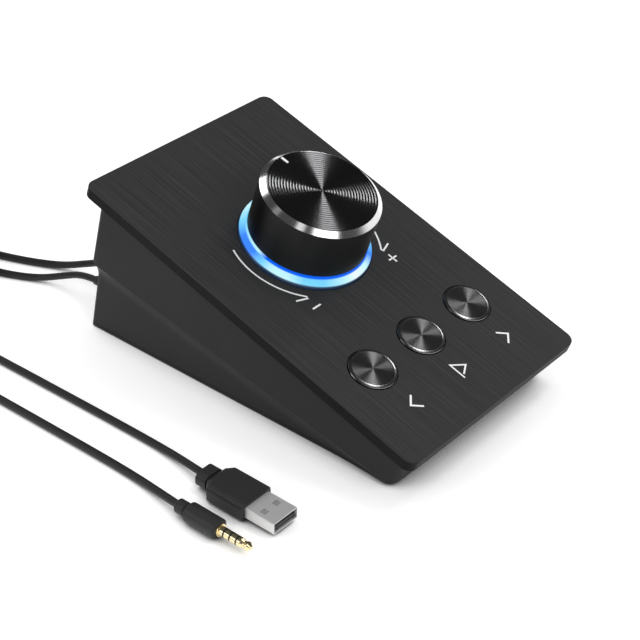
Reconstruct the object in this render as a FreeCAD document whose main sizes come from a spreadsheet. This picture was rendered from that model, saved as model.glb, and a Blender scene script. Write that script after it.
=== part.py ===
import FreeCAD, Part
import math
import os
import re
import Sketcher
from FreeCAD import Placement, Rotation, Vector

# A desk volume control: a sloping moulded housing under a brushed plate, with a big knob over
# a light ring, three round buttons, and two cords that end in a USB plug and an audio plug.
#
# Row frame: +Z up, desk at Z = 0, +Y to the tall rear end, +X to the user's right.
# Plate frame: X as above, Y up the slope, Z square to the plate, zero at its top centre.
# Pieces that follow the slope are drawn in the plate frame and placed by slope_placement().

SIZES = {
    # the sloping top plate
    "plate_width": 100.0,
    "plate_length": 162.0,
    "plate_skin": 1.6,
    "plate_edge_depth": 4.4,
    "plate_edge_wall": 1.5,
    "plate_corner": 4.0,
    "plate_edge_break": 0.4,
    "plate_tilt": 18.0,
    "plate_height": 44.3,
    "plate_centre_y": -4.67,
    # the moulded housing below it
    "housing_inset": 4.0,
    "housing_corner": 4.6,
    "housing_wall": 2.2,
    "end_lean": 4.0,
    "deck_thickness": 2.2,
    "flange_gap": 0.2,
    "crease_depth": 19.4,
    "crease_angle": 6.2,
    "crease_cover": 4.0,
    "recess": 2.6,
    "cove_radius": 12.0,
    # the bottom cover, its feet and its screws
    "foot_height": 0.5,
    "cover_edge": 1.2,
    "cover_lift": 0.8,
    "cover_gap": 0.3,
    "parting_gap": 0.2,
    "foot_radius": 6.0,
    "foot_recess": 0.8,
    "foot_side_inset": 14.0,
    "foot_front_inset": 22.0,
    "foot_rear_inset": 3.0,
    "screw_side_inset": 7.8,
    "screw_front_inset": 35.0,
    "screw_rear_inset": 20.0,
    "screw_radius": 1.3,
    "screw_head_radius": 2.6,
    "screw_head_height": 0.9,
    "screw_length": 7.0,
    "boss_radius": 3.6,
    "boss_height": 7.0,
    "pilot_gap": 0.05,
    # the knob and what carries it
    "knob_offset": 14.0,
    "knob_radius": 23.0,
    "knob_bottom_height": 3.9,
    "knob_top_height": 25.3,
    "knob_bevel_width": 2.1,
    "knob_bevel_height": 1.8,
    "knob_wall": 2.4,
    "knob_roof": 2.7,
    "knob_travel": 0.5,
    "hub_thickness": 4.0,
    "hub_boss_radius": 6.0,
    "hub_boss_end": 7.0,
    "hub_rib_width": 1.6,
    "pointer_width": 1.0,
    "pointer_start": 17.3,
    "pointer_length": 3.3,
    "pointer_depth": 0.4,
    "shaft_radius": 3.0,
    "shaft_top_height": 19.0,
    "shaft_flat_start": 8.0,
    "shaft_flat_depth": 1.4,
    "shaft_tail_radius": 2.5,
    "shaft_tail_end": 11.8,
    "shaft_gap": 0.05,
    "rotor_radius": 5.0,
    "rotor_thickness": 2.2,
    "rotor_gap": 0.15,
    "encoder_width": 13.0,
    "encoder_depth": 12.0,
    "encoder_height": 6.5,
    "bush_radius": 3.5,
    "bush_length": 7.0,
    "bush_hole_gap": 0.1,
    "washer_radius": 5.6,
    "washer_thickness": 0.5,
    "nut_across_flats": 10.0,
    "nut_thickness": 2.0,
    # the light ring, in a round well of the deck
    "well_gap": 0.3,
    "well_depth": 3.0,
    "ring_outer_radius": 25.7,
    "ring_width": 4.1,
    "ring_hole_gap": 0.2,
    "ring_height": 3.1,
    "ring_shoulder": 0.6,
    "ring_slope_width": 2.3,
    "ring_slope_bulge": 0.45,
    "ring_inner_wall": 1.0,
    "ring_outer_wall": 0.8,
    "ring_channel_height": 1.5,
    "light_board_bore": 8.0,
    "light_board_gap": 0.2,
    "light_board_thickness": 1.2,
    "led_count": 12,
    "led_width": 2.4,
    "led_depth": 1.9,
    "led_height": 0.9,
    # the three buttons
    "button_front_inset": 37.0,
    "button_pitch": 28.0,
    "button_radius": 9.0,
    "button_gap": 0.4,
    "button_proud": 0.75,
    "button_bevel": 0.75,
    "button_travel": 0.5,
    "stem_flange_radius": 10.3,
    "stem_flange_thickness": 1.6,
    "stem_radius": 3.0,
    "stem_gap": 0.1,
    "button_seat_gap": 0.1,
    "button_well_radius": 10.8,
    "button_well_depth": 2.7,
    "button_well_wall": 2.1,
    "switch_width": 6.2,
    "switch_height": 3.6,
    "plunger_radius": 1.7,
    "plunger_rise": 1.2,
    "plunger_length": 2.1,
    "plunger_gap": 0.1,
    # the main board
    "board_side_inset": 10.0,
    "board_front_inset": 13.0,
    "board_rear_inset": 33.0,
    "board_drop": 13.3,
    "board_thickness": 1.6,
    "standoff_inset": 5.0,
    "standoff_radius": 3.0,
    "board_screw_radius": 1.1,
    "board_screw_head_radius": 2.3,
    "board_screw_head_height": 1.5,
    "board_screw_length": 6.0,
    "header_offset": 12.0,
    "header_inset": 8.0,
    "header_width": 10.0,
    "header_depth": 5.8,
    "header_height": 5.0,
    "header_wall": 1.0,
    "chip_height": 1.2,
    # where the cords leave the rear wall
    "exit_side_inset": 16.0,
    "exit_pitch": 12.0,
    "exit_height": 10.0,
    "relief_root_radius": 2.3,
    "relief_tip_radius": 1.85,
    "relief_length": 12.0,
    "relief_collar_radius": 3.6,
    "relief_collar_length": 1.5,
    "relief_gap": 0.05,
    "relief_groove_depth": 0.3,
    # the cords and their coils
    "usb_cord_diameter": 2.8,
    "audio_cord_diameter": 2.9,
    "coil_middle_radius": 16.0,
    "coil_layers": 4,
    "usb_coil_turns": 12.5,
    "usb_coil_x": -65.6,
    "usb_coil_y": 153.0,
    "audio_coil_turns": 11.43,
    "audio_coil_x": -83.9,
    "audio_coil_y": 196.5,
    "audio_coil_entry_angle": 25.0,
    # the USB plug
    "usb_plug_x": -85.0,
    "usb_plug_y": -18.9,
    "usb_grip_width": 15.0,
    "usb_grip_height": 7.6,
    "usb_grip_length": 19.0,
    "usb_grip_shoulder": 2.6,
    "usb_grip_corner": 2.0,
    "usb_grip_bevel": 0.5,
    "usb_collar_width": 9.0,
    "usb_collar_height": 6.0,
    "usb_collar_length": 4.5,
    "usb_groove_length": 0.9,
    "usb_shell_width": 12.0,
    "usb_shell_height": 4.5,
    "usb_shell_length": 12.8,
    "usb_shell_wall": 0.3,
    "usb_window_size": 2.4,
    "usb_window_pitch": 6.0,
    "usb_window_setback": 6.1,
    "usb_tongue_height": 1.9,
    "usb_tongue_setback": 0.8,
    "usb_contact_width": 1.0,
    "usb_contact_pitch": 2.3,
    "usb_contact_length": 8.0,
    "usb_contact_thickness": 0.15,
    # the audio plug
    "audio_plug_x": -102.6,
    "audio_plug_y": -23.6,
    "audio_grip_radius": 3.75,
    "audio_grip_length": 14.2,
    "audio_collar_radius": 2.65,
    "audio_collar_length": 4.2,
    "audio_groove_length": 0.7,
    "pole_radius": 1.75,
    "pole_flange_radius": 2.4,
    "pole_flange_length": 0.6,
    "sleeve_length": 2.35,
    "insulator_length": 0.7,
    "second_ring_length": 2.0,
    "first_ring_length": 2.15,
    "tip_length": 5.4,
}

# The chips on the main board: the middle of each, and half its width and depth.
CHIPS = [(0, 6, 4.5, 4.5), (-18, -8, 3.5, 3.5), (16, -12, 2.5, 2), (22, 10, 2, 3), (-24, 14, 2.5, 1.6)]

# Where each cord runs, from its strain relief to its coil and from its coil to its plug.
# The last figure of each point is the height of the cord's middle above the desk.
USB_TAIL_POINTS = [
    (-30.0, 99.5, 9.5), (-31.4, 109.5, 5.2), (-35.0, 119.0, 1.8), (-40.4, 129.0, 1.4),
    (-44.6, 141.0, 1.4),
]
USB_LEAD_POINTS = [
    (-86.4, 141.0, 9.2), (-85.7, 124.0, 4.5), (-84.5, 107.0, 1.4), (-83.7, 84.0, 1.4),
    (-82.8, 50.0, 1.4), (-82.1, 20.0, 1.4), (-82.1, 4.0, 1.5), (-83.4, -8.0, 2.7),
]
AUDIO_TAIL_POINTS = [
    (-18.0, 99.5, 9.5), (-19.2, 109.5, 5.2), (-22.6, 119.5, 1.8), (-28.4, 131.0, 1.45),
    (-33.6, 144.0, 1.45), (-37.6, 158.0, 1.45), (-44.5, 171.5, 1.45), (-54.5, 185.0, 1.45),
]
AUDIO_LEAD_POINTS = [
    (-104.4, 183.5, 9.6), (-103.9, 166.5, 4.6), (-103.0, 149.5, 1.45), (-101.8, 121.0, 1.45),
    (-100.9, 84.0, 1.45), (-100.1, 46.0, 1.45), (-99.5, 14.0, 1.45), (-99.7, -2.0, 1.5),
    (-101.1, -13.5, 2.5),
]

doc = FreeCAD.newDocument("volume_control")
sheet = doc.addObject("Spreadsheet::Sheet", "Sizes")
for row, (alias, number) in enumerate(SIZES.items(), start=1):
    sheet.set(f"A{row}", alias)
    sheet.set(f"B{row}", str(number))
    sheet.setAlias(f"B{row}", alias)
doc.recompute()

parts = []


# ---------------------------------------------------------------- expressions

def bound(text):
    """The formula with each size's name turned into a reference to its cell."""
    return re.sub(r"[a-z_]+", lambda m: f"Sizes.{m[0]}" if m[0] in SIZES else m[0], str(text))


def value(text):
    """The formula's number, from the cells."""
    result = sheet.evalExpression(bound(text))
    return float(getattr(result, "Value", result))


TILT = "(plate_tilt * 1 deg)"
LEAN = "(end_lean * 1 deg)"
CREASE = "(crease_angle * 1 deg)"
DECK_UNDER = "(plate_skin + deck_thickness)"
END_Y = "(plate_length / 2 - housing_inset)"
SIDE_X = "(plate_width / 2 - housing_inset)"
RIM_HEIGHT = "(foot_height + cover_edge + parting_gap)"
BUTTON_Y = "(button_front_inset - plate_length / 2)"
BOARD_X = f"({SIDE_X} - board_side_inset)"
BOARD_FRONT = f"(board_front_inset - {END_Y})"
BOARD_REAR = f"({END_Y} - board_rear_inset)"
WELL_RADIUS = "(ring_outer_radius + well_gap)"
RING_INNER = "(ring_outer_radius - ring_width)"
CHANNEL_INNER = f"({RING_INNER} + ring_inner_wall)"
CHANNEL_OUTER = "(ring_outer_radius - ring_outer_wall)"
USB_EXIT_X = f"(exit_side_inset - {SIDE_X})"
AUDIO_EXIT_X = f"({USB_EXIT_X} + exit_pitch)"
# numbers closer than this count as equal when edges are picked
SAME = 1e-6


def end_y(drop, inside="0"):
    """How far along the slope the leaning end walls stand, at a drop below the plate."""
    return f"({END_Y} - ({inside}) - tan{LEAN} * (({drop}) - plate_skin))"


def end_y_at_height(height, sign, inside="0"):
    """The same where the wall comes down to a height above the desk: rear +1, front -1."""
    drop = f"((plate_height - ({height})) / cos{TILT} - plate_skin)"
    reach = f"({END_Y} - ({inside}) - tan{LEAN} * {drop})"
    return f"({sign} * {reach} / (1 + ({sign}) * tan{LEAN} * tan{TILT}))"


def drop_at_height(height, along):
    """The drop below the plate of a point at a height above the desk, at a place on the slope."""
    return f"((plate_height - ({height}) + ({along}) * sin{TILT}) / cos{TILT})"


def desk_y(height, along):
    """Where a point at that height lies along the desk, counted from the plate's centre."""
    return f"(({along}) / cos{TILT} + (plate_height - ({height})) * tan{TILT})"


def crease_drop(along):
    """The drop of the crease below the plate, at a place on the slope."""
    return f"(crease_depth + tan{CREASE} * (({along}) + plate_length / 2))"


def crease_end(sign):
    """Where along the slope the crease meets an end wall: rear +1, front -1."""
    drop = f"({crease_drop('0')} - plate_skin)"
    return f"({sign} * ({END_Y} - tan{LEAN} * {drop}) / (1 + ({sign}) * tan{LEAN} * tan{CREASE}))"


# ---------------------------------------------------------------- bodies, sketches, features

def new_body(label):
    body = doc.addObject("PartDesign::Body", label)
    body.Label = label
    parts.append(body)
    return body


def slope_placement(body):
    """Stand a body of the plate frame on the desk."""
    body.Placement = Placement(Vector(0, 0, 0), Rotation(Vector(1, 0, 0), value("plate_tilt")))
    body.setExpression("Placement.Base.y", bound("plate_centre_y"))
    body.setExpression("Placement.Base.z", bound("plate_height"))
    body.setExpression("Placement.Rotation.Angle", bound("plate_tilt"))


def desk_placement(body, x="0", y="0", z="0"):
    for axis, formula in (("x", x), ("y", y), ("z", z)):
        body.setExpression(f"Placement.Base.{axis}", bound(formula))


def new_sketch(body, name, role="XY_Plane", lift="0", turn=None, y="0", z="0"):
    """A sketch on one of the body's own planes, lifted off it, or turned about X at y, z."""
    plane = [f for f in body.Origin.OriginFeatures if f.Role == role][0]
    sketch = body.newObject("Sketcher::SketchObject", name)
    sketch.AttachmentSupport = [(plane, "")]
    sketch.MapMode = "FlatFace"
    if turn is None:
        sketch.setExpression("AttachmentOffset.Base.z", bound(lift))
    else:
        sketch.AttachmentOffset = Placement(Vector(0, 0, 0), Rotation(Vector(1, 0, 0), 1.0))
        sketch.setExpression("AttachmentOffset.Rotation.Angle", bound(turn))
        sketch.setExpression("AttachmentOffset.Base.y", bound(y))
        sketch.setExpression("AttachmentOffset.Base.z", bound(z))
    return sketch


def desk_sketch(body, name, height):
    """A level sketch in a plate-frame body, at a height above the desk. Its Y runs along it."""
    below = f"(plate_height - ({height}))"
    return new_sketch(body, name, turn="-plate_tilt",
                      y=f"-{below} * sin{TILT}", z=f"-{below} * cos{TILT}")


def upright_sketch(body, name, along):
    """A sketch that stands up from the desk in a plate-frame body, facing the front."""
    return new_sketch(body, name, turn="90 - plate_tilt",
                      y=f"-plate_height * sin{TILT} + ({along}) * cos{TILT}",
                      z=f"-plate_height * cos{TILT} - ({along}) * sin{TILT}")


def bind(sketch, constraint, formula):
    index = sketch.addConstraint(constraint)
    name = f"size_{index}"
    sketch.renameConstraint(index, name)
    sketch.setExpression(f"Constraints.{name}", bound(formula))


def pin_point(sketch, geometry, point, x, y):
    """Hold a point of the sketch at two formulas' numbers."""
    for kind, axis, formula in (("DistanceX", -2, x), ("DistanceY", -1, y)):
        number = value(formula)
        if abs(number) < 1e-9:
            sketch.addConstraint(Sketcher.Constraint("PointOnObject", geometry, point, axis))
        elif number > 0:
            bind(sketch, Sketcher.Constraint(kind, -1, 1, geometry, point, number), formula)
        else:
            bind(sketch, Sketcher.Constraint(kind, geometry, point, -1, 1, -number),
                 f"-({formula})")


def circle(sketch, x, y, radius):
    middle = Vector(value(x), value(y), 0)
    index = sketch.addGeometry(Part.Circle(middle, Vector(0, 0, 1), value(radius)))
    bind(sketch, Sketcher.Constraint("Radius", index, value(radius)), radius)
    pin_point(sketch, index, 3, x, y)


def circles(sketch, places, radius):
    for x, y in places:
        circle(sketch, x, y, radius)


def polygon(sketch, corners):
    """A closed outline with a straight side from each corner to the next."""
    spots = [Vector(value(x), value(y), 0) for x, y in corners]
    first = sketch.GeometryCount
    for i, spot in enumerate(spots):
        sketch.addGeometry(Part.LineSegment(spot, spots[(i + 1) % len(spots)]))
    for i in range(len(spots)):
        after = first + (i + 1) % len(spots)
        sketch.addConstraint(Sketcher.Constraint("Coincident", first + i, 2, after, 1))
    for i, (x, y) in enumerate(corners):
        pin_point(sketch, first + i, 1, x, y)


def rectangle(sketch, left, front, right, rear):
    polygon(sketch, [(left, front), (right, front), (right, rear), (left, rear)])


def pad(body, sketch, length, down=False, both=False):
    feature = body.newObject("PartDesign::Pad", f"{sketch.Name}_pad")
    feature.Profile = sketch
    feature.setExpression("Length", bound(length))
    feature.Midplane = both
    feature.Reversed = down
    sketch.Visibility = False
    doc.recompute()
    return feature


def pocket(body, sketch, length, up=False, both=False):
    """Cut a sketch into the body, down from its plane or up, and see that it took something."""
    before = body.Shape.Volume
    feature = body.newObject("PartDesign::Pocket", f"{sketch.Name}_cut")
    feature.Profile = sketch
    feature.setExpression("Length", bound(length))
    feature.Midplane = both
    feature.Reversed = up
    doc.recompute()
    if body.Shape.Volume > before - 1e-6:
        raise RuntimeError(f"{body.Label}: {feature.Name} cuts nothing")
    return feature


def revolve(body, corners, name="profile", role="YZ_Plane", axis="V_Axis"):
    """Turn a closed outline about an axis of its sketch."""
    sketch = new_sketch(body, name, role=role)
    polygon(sketch, corners)
    feature = body.newObject("PartDesign::Revolution", f"{name}_turned")
    feature.Profile = sketch
    feature.ReferenceAxis = (sketch, [axis])
    feature.Angle = 360
    doc.recompute()
    return feature


def dress(body, kind, edges, size):
    """Fillet or chamfer edges of the body's last feature, if any were found."""
    base = body.Tip
    if not edges:
        raise RuntimeError(f"{body.Label}: no edges to {kind.lower()}")
    feature = body.newObject(f"PartDesign::{kind}", f"{base.Name}_{kind.lower()}")
    feature.Base = (base, edges)
    feature.setExpression("Radius" if kind == "Fillet" else "Size", bound(size))
    doc.recompute()
    return feature


def edges_where(body, test):
    """Names of the edges whose curve and ends pass a test."""
    shape = body.Tip.Shape
    return [f"Edge{i}" for i, edge in enumerate(shape.Edges, start=1) if test(edge)]


def steep(edge):
    """A straight edge that stands nearly square to the plate, at a corner of the plan."""
    if edge.Curve.TypeId != "Part::GeomLine":
        return False
    return abs(edge.tangentAt(edge.FirstParameter).z) > 0.9


def flat_at(edge, z):
    """An edge that lies wholly at one height of its own frame."""
    box = edge.BoundBox
    return abs(box.ZMin - z) < SAME and abs(box.ZMax - z) < SAME


# ---------------------------------------------------------------- the housing's outer form

def rounded_path(sketch, half_x, front, rear, radius):
    """The wall's line in plan, with round corners, starting at the middle of the rear side."""
    x, y0, y1, r = (value(f) for f in (half_x, front, rear, radius))

    def corner(cx, cy, start):
        ring = Part.Circle(Vector(cx, cy, 0), Vector(0, 0, 1), r)
        return Part.ArcOfCircle(ring, math.radians(start), math.radians(start + 90))

    def side(xa, ya, xb, yb):
        return Part.LineSegment(Vector(xa, ya, 0), Vector(xb, yb, 0))

    pieces = [
        side(0, y1, r - x, y1), corner(r - x, y1 - r, 90),
        side(-x, y1 - r, -x, y0 + r), corner(r - x, y0 + r, 180),
        side(r - x, y0, x - r, y0), corner(x - r, y0 + r, 270),
        side(x, y0 + r, x, y1 - r), corner(x - r, y1 - r, 0),
        side(x - r, y1, 0, y1),
    ]
    for piece in pieces:
        sketch.addGeometry(piece)
    return [f"Edge{i}" for i in range(1, len(pieces) + 1)]


def cut_cove(body):
    """Sweep the cove and the recessed wall below it round the housing, along the crease.

    The crease lies in a plane of its own, a little steeper than the plate. Below it the wall
    sweeps inwards on a wide concave radius and goes on down, set back by the recess.
    """
    angle = math.radians(value("crease_angle"))
    ends = [f"({crease_end(sign)} + plate_length / 2) / cos{CREASE}" for sign in (-1, 1)]
    path = new_sketch(body, "crease_line", turn="-crease_angle",
                      y="-plate_length / 2", z="-crease_depth")
    names = rounded_path(path, SIDE_X, *ends, "housing_corner")
    outward = Vector(math.cos(angle), -math.sin(angle), 0)
    downward = Vector(-math.sin(angle), -math.cos(angle), 0)
    edge = Vector(value(crease_end(1)), -value(crease_drop(crease_end(1))), 0)
    radius, recess = value("cove_radius"), value("recess")
    turn = math.acos(1 - recess / radius)
    foot = edge - outward * recess + downward * radius * math.sin(turn)
    centre = foot + outward * radius
    middle = centre - (outward * math.cos(turn / 2) + downward * math.sin(turn / 2)) * radius
    far = foot + downward * value("plate_height * 2")
    clear = outward * value("plate_edge_depth * 3")
    profile = new_sketch(body, "cove_profile", role="YZ_Plane")
    profile.addGeometry(Part.Arc(edge, middle, foot))
    outline = [foot, far, far + clear, edge + clear, edge]
    for a, b in zip(outline, outline[1:]):
        profile.addGeometry(Part.LineSegment(a, b))
    doc.recompute()
    before = body.Shape.Volume
    cove = body.newObject("PartDesign::SubtractivePipe", "cove")
    cove.Profile = profile
    cove.Spine = (path, names)
    doc.recompute()
    if body.Shape.Volume > before - 1:
        raise RuntimeError(f"{body.Label}: the cove cuts nothing")


def outer_form(body, bottom):
    """The housing's outside, from a height above the desk up to the plate's skin."""
    front, rear = (end_y_at_height(bottom, sign) for sign in (-1, 1))
    side = new_sketch(body, "side_outline", role="YZ_Plane")
    polygon(side, [
        (front, f"-{drop_at_height(bottom, front)}"), (rear, f"-{drop_at_height(bottom, rear)}"),
        (END_Y, "-plate_skin"), (f"-{END_Y}", "-plate_skin"),
    ])
    pad(body, side, f"2 * {SIDE_X}", both=True)
    dress(body, "Fillet", edges_where(body, steep), "housing_corner")
    cut_cove(body)


# ---------------------------------------------------------------- housing

def button_places():
    return [("left", "-button_pitch"), ("middle", "0"), ("right", "button_pitch")]


def button_centres():
    return [(x, BUTTON_Y) for _, x in button_places()]


def screw_places():
    ends = (f"(screw_front_inset - {END_Y})", f"({END_Y} - screw_rear_inset)")
    return [(f"{s} * ({SIDE_X} - screw_side_inset)", y) for s in (-1, 1) for y in ends]


def standoff_places():
    ends = (f"({BOARD_FRONT} + standoff_inset)", f"({BOARD_REAR} - standoff_inset)")
    return [(f"{s} * ({BOARD_X} - standoff_inset)", y) for s in (-1, 1) for y in ends]


def hollow_housing(body):
    """Two pockets from below: a narrow one between the lower walls, a wide one above the cove."""
    inside = "(recess + housing_wall)"
    floor = "-plate_height / 4"
    front, rear = (end_y_at_height(floor, sign, inside) for sign in (-1, 1))
    narrow = new_sketch(body, "narrow_hollow", role="YZ_Plane")
    polygon(narrow, [
        (front, f"-{drop_at_height(floor, front)}"), (rear, f"-{drop_at_height(floor, rear)}"),
        (end_y(DECK_UNDER, inside), f"-{DECK_UNDER}"),
        (f"-{end_y(DECK_UNDER, inside)}", f"-{DECK_UNDER}"),
    ])
    pocket(body, narrow, f"2 * ({SIDE_X} - {inside})", both=True)
    wide = new_sketch(body, "wide_hollow", role="YZ_Plane")
    top = end_y(DECK_UNDER, "housing_wall")
    front_floor = f"({crease_drop('-' + END_Y)} - crease_cover)"
    rear_floor = f"({crease_drop(END_Y)} - crease_cover)"
    polygon(wide, [
        (f"-{end_y(front_floor, 'housing_wall')}", f"-{front_floor}"),
        (end_y(rear_floor, "housing_wall"), f"-{rear_floor}"),
        (top, f"-{DECK_UNDER}"), (f"-{top}", f"-{DECK_UNDER}"),
    ])
    pocket(body, wide, f"2 * ({SIDE_X} - housing_wall)", both=True)


def build_housing():
    body = new_body("housing")
    outer_form(body, RIM_HEIGHT)
    hollow_housing(body)
    # the flange that fills the plate's turned-down edge
    flange = new_sketch(body, "flange", lift="-plate_skin")
    half_x = "(plate_width / 2 - plate_edge_wall - flange_gap)"
    half_y = "(plate_length / 2 - plate_edge_wall - flange_gap)"
    rectangle(flange, f"-{half_x}", f"-{half_y}", half_x, half_y)
    inner_x, inner_y = f"({SIDE_X} - housing_wall)", f"({END_Y} - housing_wall * 2)"
    rectangle(flange, f"-{inner_x}", f"-{inner_y}", inner_x, inner_y)
    pad(body, flange, "plate_edge_depth - plate_skin - flange_gap", down=True)
    beyond = value(f"{SIDE_X} + flange_gap")
    outer = edges_where(body, lambda e: steep(e) and abs(e.Vertexes[0].X) > beyond)
    dress(body, "Fillet", outer, "plate_corner - plate_edge_wall")
    # cups that hang below the deck, round the light ring and under each button
    cups = new_sketch(body, "ring_cup", lift=f"-{DECK_UNDER}")
    circle(cups, "0", "knob_offset", f"{WELL_RADIUS} + housing_wall")
    pad(body, cups, "well_depth", down=True)
    cups = new_sketch(body, "button_cups", lift=f"-{DECK_UNDER}")
    circles(cups, button_centres(), "button_well_radius + button_well_wall")
    pad(body, cups, "button_well_depth", down=True)
    posts = new_sketch(body, "standoffs", lift=f"-{DECK_UNDER}")
    circles(posts, standoff_places(), "standoff_radius")
    pad(body, posts, f"board_drop - {DECK_UNDER}", down=True)
    well = new_sketch(body, "ring_well", lift="-plate_skin")
    circle(well, "0", "knob_offset", WELL_RADIUS)
    pocket(body, well, "well_depth")
    wells = new_sketch(body, "button_wells", lift="-plate_skin")
    circles(wells, button_centres(), "button_well_radius")
    pocket(body, wells, "button_well_depth")
    bush = new_sketch(body, "bush_hole")
    circle(bush, "0", "knob_offset", "bush_radius + bush_hole_gap")
    pocket(body, bush, "board_drop")
    guides = new_sketch(body, "stem_guides")
    circles(guides, button_centres(), "stem_radius + stem_gap")
    pocket(body, guides, "board_drop")
    pilots = new_sketch(body, "board_pilots", lift="-board_drop")
    circles(pilots, standoff_places(), "board_screw_radius + pilot_gap")
    pocket(body, pilots, "board_screw_length", up=True)
    # posts for the cover's screws, grown into the side walls
    start = "(foot_height + cover_edge + cover_lift)"
    posts = desk_sketch(body, "cover_posts", start)
    circles(posts, screw_places(), "boss_radius")
    pad(body, posts, "boss_height")
    pilots = desk_sketch(body, "cover_pilots", start)
    circles(pilots, screw_places(), "screw_radius + pilot_gap")
    pocket(body, pilots, "screw_length", up=True)
    # the two round holes in the rear wall for the strain reliefs
    holes = upright_sketch(body, "cord_holes", "plate_length / 4")
    exits = [(x, "exit_height") for x in (USB_EXIT_X, AUDIO_EXIT_X)]
    circles(holes, exits, "relief_root_radius + relief_gap")
    pocket(body, holes, "plate_length / 2")
    slope_placement(body)


def build_bottom_cover():
    body = new_body("bottom_cover")
    top = "(foot_height + cover_edge)"
    outer_form(body, "foot_height")
    above = desk_sketch(body, "above_cover", top)
    rectangle(above, "-plate_width", "-plate_length", "plate_width", "plate_length")
    pocket(body, above, "plate_height * 2", up=True)
    raised = desk_sketch(body, "raised_middle", top)
    inside = "(recess + housing_wall + cover_gap)"
    clear = "housing_corner"
    front = desk_y(top, end_y_at_height(top, -1, f"{inside} + {clear} / 2"))
    rear = desk_y(top, end_y_at_height(top, 1, f"{inside} + {clear} / 2"))
    rectangle(raised, f"-({SIDE_X} - {inside})", front, f"({SIDE_X} - {inside})", rear)
    pad(body, raised, "cover_lift")
    holes = desk_sketch(body, "screw_holes", "0")
    circles(holes, screw_places(), "screw_radius + pilot_gap * 4")
    pocket(body, holes, "plate_height / 4", up=True)
    heads = desk_sketch(body, "screw_seats", "foot_height")
    circles(heads, screw_places(), "screw_head_radius + pilot_gap * 4")
    pocket(body, heads, "screw_head_height + pilot_gap * 2", up=True)
    feet = desk_sketch(body, "foot_seats", "foot_height")
    circles(feet, foot_places(), "foot_radius + pilot_gap * 2")
    pocket(body, feet, "foot_recess", up=True)
    slope_placement(body)


def foot_places():
    ends = (f"(foot_front_inset - {END_Y})", f"({END_Y} - foot_rear_inset)")
    return [(f"{s} * ({SIDE_X} - foot_side_inset)", y) for s in (-1, 1) for y in ends]


def build_feet_and_screws():
    feet = new_body("rubber_feet")
    plan = new_sketch(feet, "discs")
    circles(plan, foot_places(), "foot_radius")
    pad(feet, plan, "foot_height + foot_recess")
    dress(feet, "Chamfer", edges_where(feet, lambda e: flat_at(e, 0)), "foot_height / 2")
    desk_placement(feet, y="plate_centre_y")
    screws = new_body("cover_screws")
    heads = new_sketch(screws, "heads")
    circles(heads, screw_places(), "screw_head_radius")
    pad(screws, heads, "screw_head_height")
    shanks = new_sketch(screws, "shanks", lift="screw_head_height")
    circles(shanks, screw_places(), "screw_radius")
    pad(screws, shanks, "screw_length")
    desk_placement(screws, y="plate_centre_y", z="foot_height + pilot_gap * 2")


# ---------------------------------------------------------------- top plate

def build_top_plate():
    body = new_body("top_plate")
    plan = new_sketch(body, "plan")
    rectangle(plan, "-plate_width / 2", "-plate_length / 2", "plate_width / 2", "plate_length / 2")
    pad(body, plan, "plate_edge_depth", down=True)
    dress(body, "Fillet", edges_where(body, steep), "plate_corner")
    tray = new_sketch(body, "tray", lift="-plate_edge_depth")
    half_x = "(plate_width / 2 - plate_edge_wall)"
    half_y = "(plate_length / 2 - plate_edge_wall)"
    rectangle(tray, f"-{half_x}", f"-{half_y}", half_x, half_y)
    pocket(body, tray, "plate_edge_depth - plate_skin", up=True)
    inside = value(half_x)
    inner = edges_where(body, lambda e: steep(e) and abs(abs(e.Vertexes[0].X) - inside) < SAME)
    dress(body, "Fillet", inner, "plate_corner - plate_edge_wall")
    holes = new_sketch(body, "openings")
    circle(holes, "0", "knob_offset", "ring_outer_radius + ring_hole_gap")
    circles(holes, button_centres(), "button_radius + button_gap")
    pocket(body, holes, "plate_skin * 2")
    dress(body, "Chamfer", edges_where(body, lambda e: flat_at(e, 0) and outside(e)),
          "plate_edge_break")
    slope_placement(body)


def outside(edge):
    """An edge on the plate's outer outline, not round a hole."""
    box = edge.BoundBox
    reach_x = max(abs(box.XMin), abs(box.XMax)) > value("plate_width / 2") - SAME
    return reach_x or max(abs(box.YMin), abs(box.YMax)) > value("plate_length / 2") - SAME


# ---------------------------------------------------------------- knob, encoder, light ring

KNOB_ROOF_UNDER = "(knob_top_height - knob_roof)"
WELL_FLOOR = "(plate_skin + well_depth)"
WELL_UNDER = "(plate_skin + well_depth + deck_thickness)"


def place_on_knob_axis(body):
    """Plate-frame bodies that are drawn about the knob's axis."""
    body.Placement = Placement(Vector(0, 0, 0), Rotation(Vector(1, 0, 0), value("plate_tilt")))
    body.setExpression("Placement.Base.y", bound(f"plate_centre_y + knob_offset * cos{TILT}"))
    body.setExpression("Placement.Base.z", bound(f"plate_height + knob_offset * sin{TILT}"))
    body.setExpression("Placement.Rotation.Angle", bound("plate_tilt"))


def build_knob_cap():
    """A deep turned cup, open below, with a polished bevel and a slot for the pointer."""
    body = new_body("knob_cap")
    bore = "(knob_radius - knob_wall)"
    revolve(body, [
        ("0", KNOB_ROOF_UNDER), (bore, KNOB_ROOF_UNDER), (bore, "knob_bottom_height"),
        ("knob_radius", "knob_bottom_height"), ("knob_radius", "knob_top_height - knob_bevel_height"),
        ("knob_radius - knob_bevel_width", "knob_top_height"), ("0", "knob_top_height"),
    ])
    slot = new_sketch(body, "pointer_slot", lift="knob_top_height")
    rectangle(slot, "-pointer_width / 2", "pointer_start", "pointer_width / 2",
              "pointer_start + pointer_length")
    pocket(body, slot, "pointer_depth")
    place_on_knob_axis(body)
    pointer = new_body("knob_pointer")
    strip = new_sketch(pointer, "strip", lift="knob_top_height - pointer_depth")
    rectangle(strip, "-pointer_width / 2", "pointer_start", "pointer_width / 2",
              "pointer_start + pointer_length")
    pad(pointer, strip, "pointer_depth")
    place_on_knob_axis(pointer)


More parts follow.
